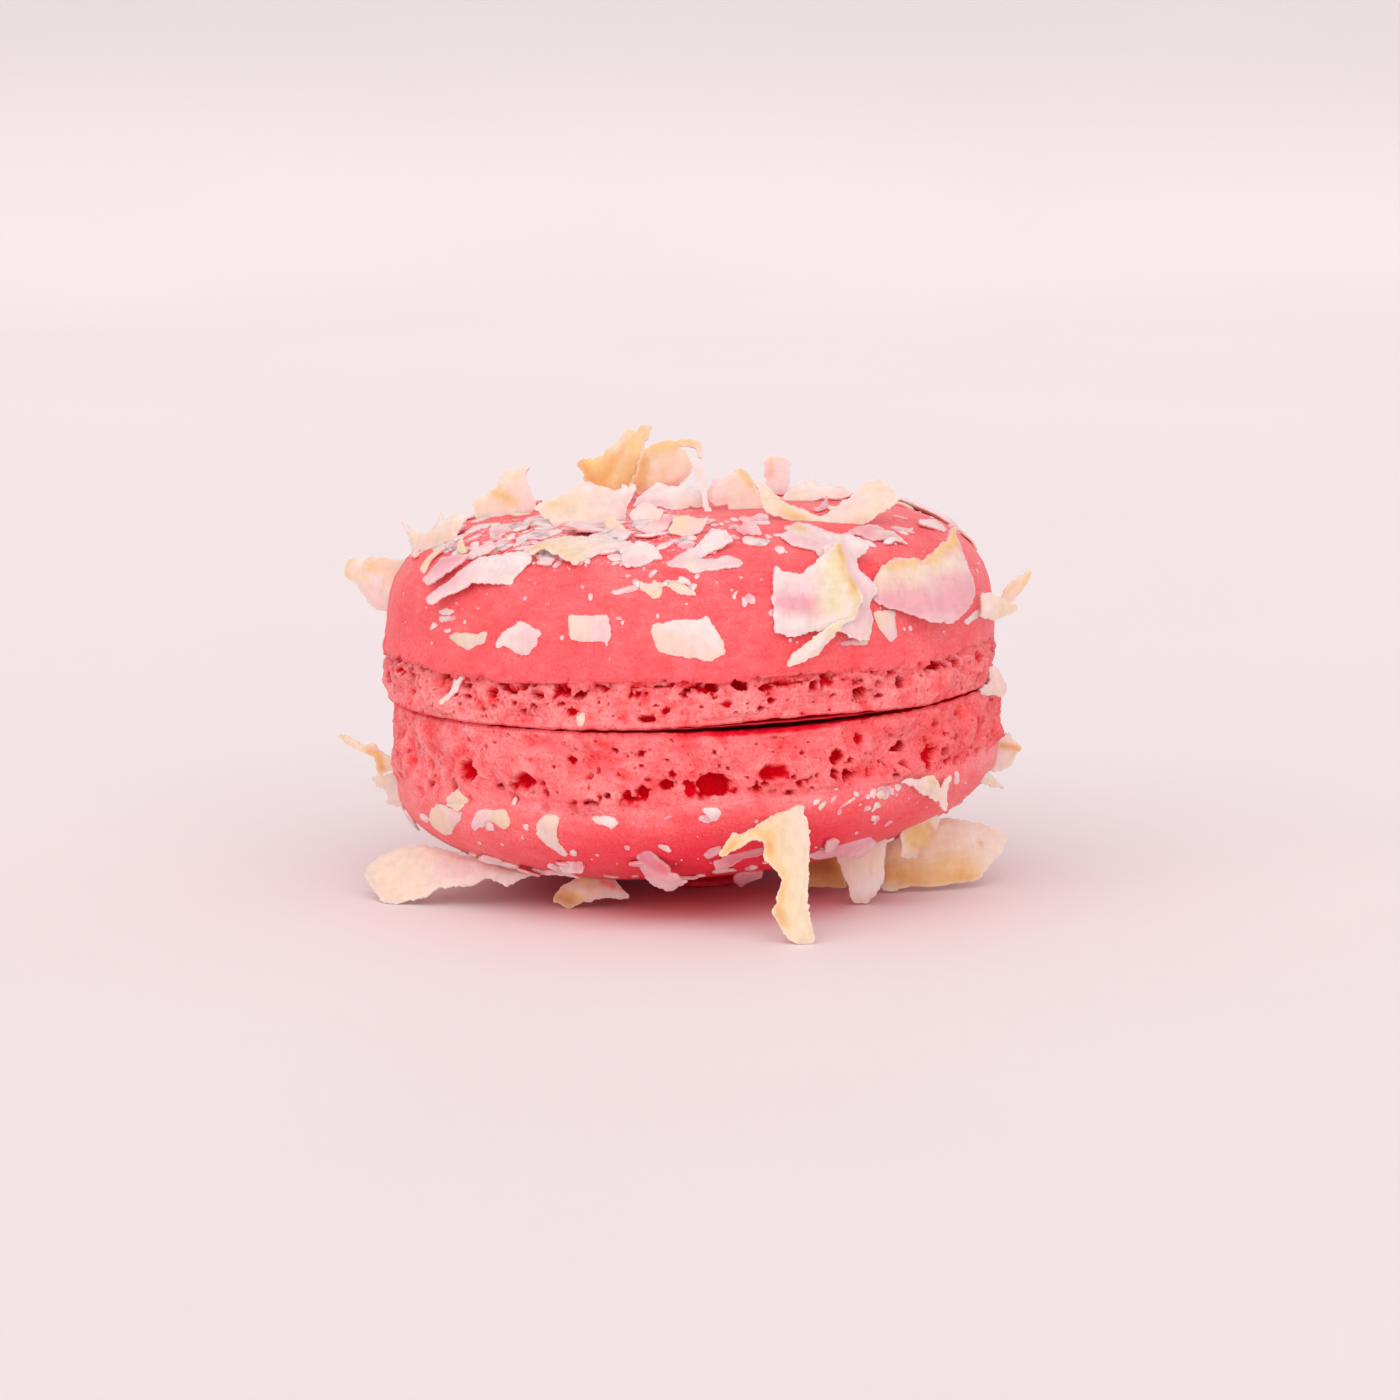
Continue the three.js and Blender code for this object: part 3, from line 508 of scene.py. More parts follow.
def shell_rows(shell):
    """Lengths along a shell's outline for the rows of its mesh: fine on the foot, wider over the crown."""
    outline = OUTLINES[shell.name]
    rows = list(spaced(0, outline.skin_edge + FINE_BAND, WALL_STEP))
    step = WALL_STEP
    end = outline.length[-1]
    while rows[-1] + 1.6 * step < end:
        rows.append(rows[-1] + step)
        step = min(step * STEP_GROWTH, WIDEST_STEP)
    return np.array([*rows, end])


def hole_depths(shell, azimuth, height):
    """Three grids: how deep the air holes are, the low lip round each, and where they are, from 0 to 1."""
    columns = azimuth.shape[0]
    depth, lip, inside = (np.zeros(azimuth.shape) for _ in range(3))
    around = azimuth[:, 0]
    for middle, level, half_width, half_height, deep, seed in air_holes(shell):
        reach = 1.6 * half_width / shell.radius
        column = round((math.radians(middle) - around[0]) / (2 * math.pi) * columns)
        span = max(2, math.ceil(reach / (2 * math.pi) * columns))
        chosen = np.arange(column - span, column + span + 1) % columns
        away = np.degrees(around[chosen]) - middle
        away = (away + 180) % 360 - 180
        rows = np.flatnonzero(np.abs(height[0] - level) < 1.7 * half_height)
        if not len(rows):
            continue
        across, up = np.broadcast_arrays(
            np.radians(away)[:, None] * shell.radius, (height[0, rows] - level)[None, :]
        )
        ragged = 0.42 * flat_noise(across, up, 0.8 * half_width + 0.05, 7 + seed % 97)
        ragged += 0.2 * flat_noise(across, up, 0.3 * half_width + 0.04, 3 + seed % 89)
        distance = np.hypot(across / half_width, up / half_height) * (1 + ragged)
        share = 1 - smooth(distance, 0.55 if half_width > WIDE_HOLE else 0.75, 1.1)
        rim = LIP_HEIGHT * min(1, half_width / 0.3) * hump(distance, 1.3, 0.25)
        place = np.ix_(chosen, rows)
        depth[place] = np.maximum(depth[place], deep * share)
        inside[place] = np.maximum(inside[place], share)
        lip[place] = np.maximum(lip[place], rim)
    return depth, lip, inside


class ShellGrid:
    """The outside of a shell as columns round it and rows up its outline, before it has any relief."""

    def __init__(self, shell):
        self.shell = shell
        self.rows = shell_rows(shell)
        self.columns = MOST_TRIANGLES // (2 * (len(self.rows) + len(FACE_RADII)))
        self.around = np.linspace(-math.pi, math.pi, self.columns, endpoint=False)
        self.azimuth, length = np.meshgrid(self.around, self.rows, indexing="ij")
        self.points = on_shell(shell, self.azimuth, length)
        self.normals = shell_normals(shell, self.azimuth, length)
        self.degrees = np.degrees(self.azimuth)
        self.rightward = np.sin(self.azimuth)
        _, self.height = OUTLINES[shell.name].at(length)
        self.up_crown = (self.height - shell.foot_height) / shell.crown_height

    def lumps(self, size, seed):
        """Noise from about -1 to 1, whose lumps are `size` across."""
        places = self.points.reshape(-1, 3)
        return noise(places, size, seed + 10 * self.shell.seed).reshape(self.height.shape)

    def puffs(self, size, seed):
        """Rounded lumps with sharp valleys between them, as in a baked foam."""
        return PUFF_TOP - np.abs(self.lumps(size, seed))

    def over_edge(self):
        """Height over the skin's broken edge. Below 0 is the foot's foam."""
        lumps, degrees = self.lumps, self.degrees
        over = self.height - self.shell.foot_height
        over = over + 0.5 * lumps(2.8, 1) + 0.5 * lumps(1.0, 2) + 0.32 * lumps(0.42, 14)
        if self.shell.side < 0:
            over = over + 0.9 * smooth(-degrees, 5, 45) * smooth(degrees, -170, -100)
        return over

    def blotches(self):
        return smooth(self.lumps(3.5, 11) + 0.6 * self.lumps(1.1, 12), -0.6, 0.7)

    def frontness(self):
        """1 near the front, where the lower shell is deepest in colour, with painted shade towards its
        underside.
        """
        return 0.15 + 0.85 * hump(self.degrees, 8, 38)


@dataclass(frozen=True)
class Crumb:
    """What the colours of a shell take from its relief, at each place of its grid."""

    over_edge: np.ndarray
    foot: np.ndarray  # 1 on the foam and 0 on the skin
    foam: np.ndarray  # the foam's lumps
    opened: np.ndarray  # depth of its holes, crags and cracks
    inside: np.ndarray  # 1 in an air hole


def relief_of(grid):
    """How far each place of a shell stands out, and its Crumb."""
    shell, height, lumps, puffs = grid.shell, grid.height, grid.lumps, grid.puffs
    brink = BRINKS[shell.name]
    over_edge = grid.over_edge()
    foot = 1 - smooth(over_edge, -brink.border, 0.02)
    holes, lip, inside = hole_depths(shell, grid.azimuth, height)
    coarse = 0.3 * puffs(2.9, 10) + 0.27 * puffs(1.3, 3)
    foam = coarse + (0.13 * puffs(0.62, 4) + 0.08 * puffs(0.31, 5))
    calm = brink.calm + (1 - brink.calm) * smooth(height, *brink.calm_heights)
    undercut = 1 - 0.75 * smooth(grid.rightward, 0.2, 0.75)  # the edge is torn less at the right
    near_edge = hump(height, 0.78 * shell.foot_height, 0.28 * shell.foot_height)
    crags = 0.6 * near_edge * smooth(lumps(1.25, 6) + 0.4 * lumps(0.45, 7), 0.42, 0.7)
    cracks = 0.6 * hump(over_edge, -0.35, 0.3)
    cracks = cracks * smooth(lumps(0.9, 20) + 0.5 * lumps(0.4, 21), 0.12, 0.5)
    cracks *= undercut * (brink.hollow > 0)
    opened = np.maximum.reduce([holes, crags, cracks]) * np.clip(foot + 0.25 * (holes > 0.5), 0, 1)
    crease_fill = 0.9 * CREASE * hump(height, shell.foot_height, CREASE_REACH)
    ledge = brink.ledge * undercut * hump(np.maximum(over_edge, 0), 0, 1.2) * (1 + 0.3 * lumps(2.2, 15))
    crown = 0.06 * lumps(6.0, 8) + 0.03 * lumps(1.8, 9) + crease_fill + ledge
    hollow = brink.hollow * undercut * hump(over_edge, -0.4, 0.3)
    relief = foot * (calm * (foam + lip) - hollow) - opened + (1 - foot) * crown
    return relief, Crumb(over_edge, foot, foam, opened, inside)


def skin_look(grid, over_edge):
    """The skin's colour, and how dusty it is."""
    lumps, up_crown = grid.lumps, grid.up_crown
    if grid.shell.side > 0:
        deepness = 0.25 * grid.blotches()
        paleness = 0.55 * smooth(lumps(4.0, 17) + 0.3 * grid.rightward, -0.2, 0.8)
        dusty = 0.14 + 0.8 * smooth(up_crown, 0.66, 0.97) * hump(grid.degrees, -38, 46)
    else:
        front = grid.frontness()
        # the lower crown deepens towards its underside, most at the front: painted shade; it is pale near
        # its edge and round the sides
        deepness = 0.95 * front * smooth(up_crown + 0.1 * lumps(4.0, 18), 0.06, 0.5)
        deepness = 0.15 * grid.blotches() + deepness
        paleness = 0.9 * (1 - smooth(over_edge + 0.5 * lumps(2.4, 19), 0.2, 1.6)) + 0.8 * (1 - front)
        dusty = 0.12 + 0.12 * smooth(up_crown, 0.5, 0.9)
    skin = mixed(SKIN, SKIN_PALE, np.clip(paleness, 0, 1))
    return mixed(skin, SKIN_DEEP, np.clip(deepness, 0, 1)), dusty


def foam_colour(grid, foam):
    """Pale on the foam's lumps and deep in its valleys, as painted light and shade of its relief, and in
    places nearly the skin's colour.
    """
    colour = mixed(FOAM_VALLEY_SHADE, FOOT, smooth(foam + 0.04 * grid.lumps(0.25, 16), -0.28, 0.2))
    redness = 0.25 * grid.blotches()
    if grid.shell.side > 0:
        redness = redness * smooth(grid.rightward, -0.6, 0) + 0.2 * smooth(grid.rightward, 0.1, 0.9)
    else:
        redness = redness + 0.3 * grid.frontness() + 0.4 * smooth(grid.rightward, 0.1, 0.9)
    return mixed(colour, SKIN, redness)


def seam_shade_and_jam(grid):
    """How much of the filling's crimson the foot takes beside the seam, as painted shade of the seam, and
    where jam comes out.
    """
    share = 0.6 * (1 - smooth(grid.height, 0.03, 0.18))
    if grid.shell.side < 0:
        jam = 1 - smooth(grid.height + 0.14 * grid.lumps(0.9, 22), 0.12, 0.42)
        share = np.maximum(share, np.clip(1.4 * (jam * hump(grid.degrees, 13, 17)), 0, 1))
    return share


def shell_surface(shell):
    """Points, triangles and colours of a whole shell. A colour's fourth number is 1 on the foot, and on the
    skin it is 0 where that is clean and -1 where it is most dusty."""
    grid = ShellGrid(shell)
    relief, crumb = relief_of(grid)
    points = grid.points + grid.normals * relief[..., None]
    skin, dusty = skin_look(grid, crumb.over_edge)
    colour = mixed(skin, foam_colour(grid, crumb.foam), crumb.foot)
    # painted shade in the air holes, crags and cracks, deeper where they are deeper
    pit_shade = np.maximum(smooth(crumb.opened, 0.1, 0.42), crumb.foot * smooth(crumb.inside, 0.15, 0.6))
    colour = mixed(colour, PIT, pit_shade)
    # crimson beside the seam: painted seam shade; on the lower shell's front it is also jam
    colour = mixed(colour, CRIMSON, seam_shade_and_jam(grid))
    kind = np.where(crumb.foot > 0.02, crumb.foot, -dusty)
    colours = np.concatenate([colour, kind[..., None]], -1)

    columns, rows = kind.shape
    triangles = grid_triangles(columns, rows, closed=True)
    if shell.side < 0:
        triangles = triangles[:, ::-1]
    crown_middle = np.arange(columns) * rows + rows - 1
    same = np.arange(columns * rows)
    same[crown_middle] = crown_middle[0]
    outside = (points.reshape(-1, 3), same[triangles], colours.reshape(-1, 4))
    return without_waste(*joined([outside, flat_face(shell, grid.around, points[:, 0])]))


def flat_face(shell, around, rim):
    """The face that looks at the filling and closes the shell. Its rim repeats the outside's first row."""
    columns = len(around)
    rings = [rim]
    for share in FACE_RADII:
        radius = share * shell.radius
        height = RECESS * smooth(-radius, -FILLING_RADIUS - 1.1, -FILLING_RADIUS - 0.5)
        ring = on_circle(shell, around, radius, height)
        if share > 0.9:
            ring[:, 2] += 0.05 * noise(ring, 1.2, 5)
        rings.append(uneven(shell, ring))
    middle = np.broadcast_to(uneven(shell, np.array([[0.0, 0.0, RECESS]])), rim.shape)
    rings.append(middle)
    count = len(rings)
    points = np.stack(rings[::-1], 1).reshape(-1, 3)
    triangles = grid_triangles(columns, count, closed=True)
    if shell.side < 0:
        triangles = triangles[:, ::-1]
    same = np.arange(columns * count)
    same[np.arange(columns) * count] = 0
    # the face is crimson, the filling's colour: painted dark-red shade of the narrow gap between the shells
    return points, same[triangles], np.broadcast_to(np.append(CRIMSON, 1), (len(points), 4))


# -------------------------------------------------------------------------------- sheets of coconut

CORNER_CUTS = (0.16, 0.07)  # how far each round of cutting takes off a corner
SHEET_STEP = 0.2  # between the points of a chip, inside its rim
RIM_SHARE = 0.5  # and along its rim, as a share of that
RIM_BREAKS = ((1.0, 0.7), (0.8, 0.3), (0.7, 0.17))  # how deep the breaks along a rim are, and how long
CLOUDS = ((1.0, 2.2), (0.5, 0.8))  # patches of pink dust
FRAYED = 0.13  # width of a chip's rim that has the rim's colour
DUST_STRENGTH = 0.55
RIM_STRENGTH = 0.3
FIBRE_MEAN, FIBRE_DEPTH = 0.96, 0.055  # how bright a chip is between its fibres' light and dark
INSIDE_ONLY = 1  # the triangulation's output: triangles inside the outline


@dataclass(frozen=True)
class Sheet:
    """A flat scrap: its points, its triangles, and how far each point lies from the broken edge."""

    flat: np.ndarray
    triangles: np.ndarray
    inside: np.ndarray


def gap_to_line(points, start, end):
    """Distance from each point to the line between two points."""
    way = end - start
    share = np.clip((points - start) @ way / max(way @ way, 1e-9), 0, 1)
    return np.linalg.norm(points - start - share[:, None] * way, axis=1)


def gap_to_path(points, path):
    """Distance from each point to a line through two or more points."""
    path = np.array(path, float)
    return np.minimum.reduce([gap_to_line(points, start, end) for start, end in zip(path, path[1:])])


def winding(corners):
    """Positive where a closed outline runs counterclockwise."""
    ahead = np.roll(corners, -1, axis=0)
    return np.sum(corners[:, 0] * ahead[:, 1] - ahead[:, 0] * corners[:, 1])


def broken_rim(outline, step, ragged, seed):
    """A closed outline with its corners cut and its edges broken unevenly."""
    corners = np.array(outline, float)
    if winding(corners) < 0:
        corners = corners[::-1]
    for cut in CORNER_CUTS:
        way = np.roll(corners, -1, axis=0) - corners
        share = np.minimum(cut / np.maximum(np.linalg.norm(way, axis=1, keepdims=True), 1e-9), 0.3)
        corners = np.stack([corners + share * way, corners + (1 - share) * way], 1).reshape(-1, 2)
    closed = np.concatenate([corners, corners[:1]])
    length = np.concatenate([[0], np.cumsum(np.linalg.norm(np.diff(closed, axis=0), axis=1))])
    along = np.linspace(0, length[-1], max(8, round(length[-1] / step)), endpoint=False)
    rim = np.stack([np.interp(along, length, closed[:, axis]) for axis in (0, 1)], -1)
    heading = unit(np.roll(rim, -1, axis=0) - np.roll(rim, 1, axis=0))
    outward = np.stack([heading[:, 1], -heading[:, 0]], -1)
    x, y = rim.T
    return rim + ragged * outward * layered(x, y, RIM_BREAKS, seed)[:, None]


def within(points, rim):
    """Whether each point lies inside a closed outline."""
    x, y = points.T[:, :, None]
    ahead = np.roll(rim, -1, axis=0)
    crosses = (rim[:, 1] > y) != (ahead[:, 1] > y)
    rise = np.where(rim[:, 1] == ahead[:, 1], 1, ahead[:, 1] - rim[:, 1])
    at = rim[:, 0] + (y - rim[:, 1]) / rise * (ahead[:, 0] - rim[:, 0])
    return (crosses & (x < at)).sum(1) % 2 == 1


def gap_to_rim(points, rim):
    return np.sqrt(((points[:, None] - rim[None]) ** 2).sum(-1).min(1))


def cut_sheet(outline, step, ragged, seed):
    """A scrap with the given corners."""
    rim = broken_rim(outline, RIM_SHARE * step, ragged, seed)
    low, high = rim.min(0), rim.max(0)
    rows = np.arange(low[1], high[1], 0.87 * step)
    x, y = np.meshgrid(np.arange(low[0], high[0], step), rows, indexing="ij")
    x = x + 0.5 * step * (np.arange(len(rows)) % 2)
    grid = np.stack([x, y], -1).reshape(-1, 2)
    grid = grid[within(grid, rim)]
    grid = grid[gap_to_rim(grid, rim) > 0.6 * step]
    places = [Vector(place) for place in np.concatenate([rim, grid])]
    found = delaunay_2d_cdt(places, [], [list(range(len(rim)))], INSIDE_ONLY, 1e-6)
    flat = np.array([tuple(place) for place in found[0]])
    triangles = np.array(found[2])
    first, second, third = (flat[triangles[:, corner]] for corner in range(3))
    (ax, ay), (bx, by) = (second - first).T, (third - first).T
    turned = ax * by - ay * bx < 0
    triangles[turned] = triangles[turned][:, ::-1]
    return Sheet(flat, triangles, gap_to_rim(flat, rim))


def slab(triangles, front, back, colours, back_colours=None):
    """The solid between the two sides of a sheet. Its back has the front's colours unless given its own."""
    count = len(front)
    edges = np.concatenate([triangles[:, [0, 1]], triangles[:, [1, 2]], triangles[:, [2, 0]]])
    _, first, uses = np.unique(np.sort(edges, axis=1), axis=0, return_index=True, return_counts=True)
    start, end = edges[first[uses == 1]].T
    walls = [np.stack([start, start + count, end + count], -1), np.stack([start, end + count, end], -1)]
    both = np.concatenate([colours, colours if back_colours is None else back_colours])
    return (
        np.concatenate([front, back]),
        np.concatenate([triangles, triangles[:, ::-1] + count, *walls]),
        np.concatenate([both, np.zeros((2 * count, 1))], -1),
    )


@dataclass(frozen=True)
class Streak:
    """A tint on a scrap, along a line through some points. reach is in millimetres."""

    colour: tuple
    strength: float
    reach: float
    points: tuple


def streak(colour, strength, reach, *points):
    return Streak(colour, strength, reach, points)


def tinted(look, rim, flat, inside, seed):
    """Colours of a chip: its own, pink dust, streaks with wandering borders, and its broken edges."""
    x, y = flat.T
    wander = 1 + 0.5 * flat_noise(x, y, 1.3, seed + 21) + 0.25 * flat_noise(x, y, 0.45, seed + 22)
    base, *marks = look
    colour = np.broadcast_to(base, (len(flat), 3))
    cloud = smooth(layered(x, y, CLOUDS, seed + 25), -0.1, 0.9)
    colour = mixed(colour, colour * DUST, DUST_STRENGTH * cloud)
    for mark in marks:
        away = gap_to_path(flat, mark.points) / (mark.reach * wander)
        colour = mixed(colour, mark.colour, mark.strength * hump(away, 0, 1))
    colour = mixed(colour, rim, RIM_STRENGTH * hump(inside, 0, FRAYED))
    fibres = flat_noise(x * 0.3, y, 0.34, seed + 23) + 0.6 * flat_noise(x, y, 0.24, seed + 24)
    return colour * (FIBRE_MEAN + FIBRE_DEPTH * fibres[:, None])


# --------------------------------------------------------------- small coconut flakes on the shells

FLAKE_ROOT = 0.1  # how far a flake that lies flat goes into the skin
FLAT_TIP = 3  # degrees: a flake that stands up further is a sheet of even thickness
SMALL_FLAKE = 0.6  # shorter ones get a coarser mesh
BOXINESS = 0.5  # 1 puts a scrap's corners on an ellipse, and 0 in the corners of its box


@dataclass(frozen=True)
class Flake:
    """A thin scrap of coconut on a shell. climb places it on the crown, and height on the foot's wall. Its
    outline runs along the skin: x round the shell and y up the crown. tip is how far it stands up about its
    low end, and turn its turn along the skin, both in degrees."""

    azimuth: float
    climb: float
    outline: tuple
    colours: tuple = ()
    height: float = None
    seed: int = 0
    tip: float = 0.0
    turn: float = 0.0
    thickness: float = 0.16


def flake_mesh(shell, flake):
    """Points, triangles and colours of one flake, in its shell's own frame."""
    line = OUTLINES[shell.name]
    spans = np.ptp(np.array(flake.outline), axis=0)
    size = float(max(spans))
    small = size < SMALL_FLAKE
    step = 0.2 if small else 0.13 + 0.02 * size
    scrap = cut_sheet(flake.outline, step, 0.03 if small else 0.08, flake.seed)
    x, y = scrap.flat.T
    wave = 0.09 * min(1, size / 2) * flat_noise(x, y, 1.3, flake.seed + 2)
    top = wave + flake.thickness * (0.55 + 0.45 * smooth(scrap.inside, 0, 0.2))
    low = min(y)
    slant, turned = math.radians(flake.tip), math.radians(flake.turn)
    start = line.of_climb(shell, flake.climb) if flake.height is None else line.of_height(flake.height)
    radius = max(4.0, float(line.at(start)[0]))
    bottom = np.full(len(x), -FLAKE_ROOT) if flake.tip < FLAT_TIP else top - flake.thickness
    sides = []
    for rise in (top, bottom):
        out = rise * math.cos(slant) + (y - low) * math.sin(slant)
        along = low + (y - low) * math.cos(slant) - rise * math.sin(slant)
        across = x * math.cos(turned) - along * math.sin(turned)
        up = x * math.sin(turned) + along * math.cos(turned)
        azimuth = math.radians(flake.azimuth) + shell.side * across / radius
        length = np.maximum(start + up, 0.05)
        skin = on_shell(shell, azimuth, length)
        sides.append(skin + shell_normals(shell, azimuth, length) * out[:, None])
    lean = 2 * math.pi * chance(flake.seed, 71)
    shade = (x * math.cos(lean) + y * math.sin(lean)) / size + 0.35 * flat_noise(x, y, 0.7, flake.seed + 11)
    colour = mixed(flake.colours[0], flake.colours[1], smooth(shade, -0.2, 0.3)) * FLAKE_DUST_AND_BOUNCE
    # the back and sides of each flake take three quarters of the skin's colour: painted pink bounce light
    # from the shell beneath
    return slab(scrap.triangles, *sides, colour, mixed(colour, SKIN, 0.75))


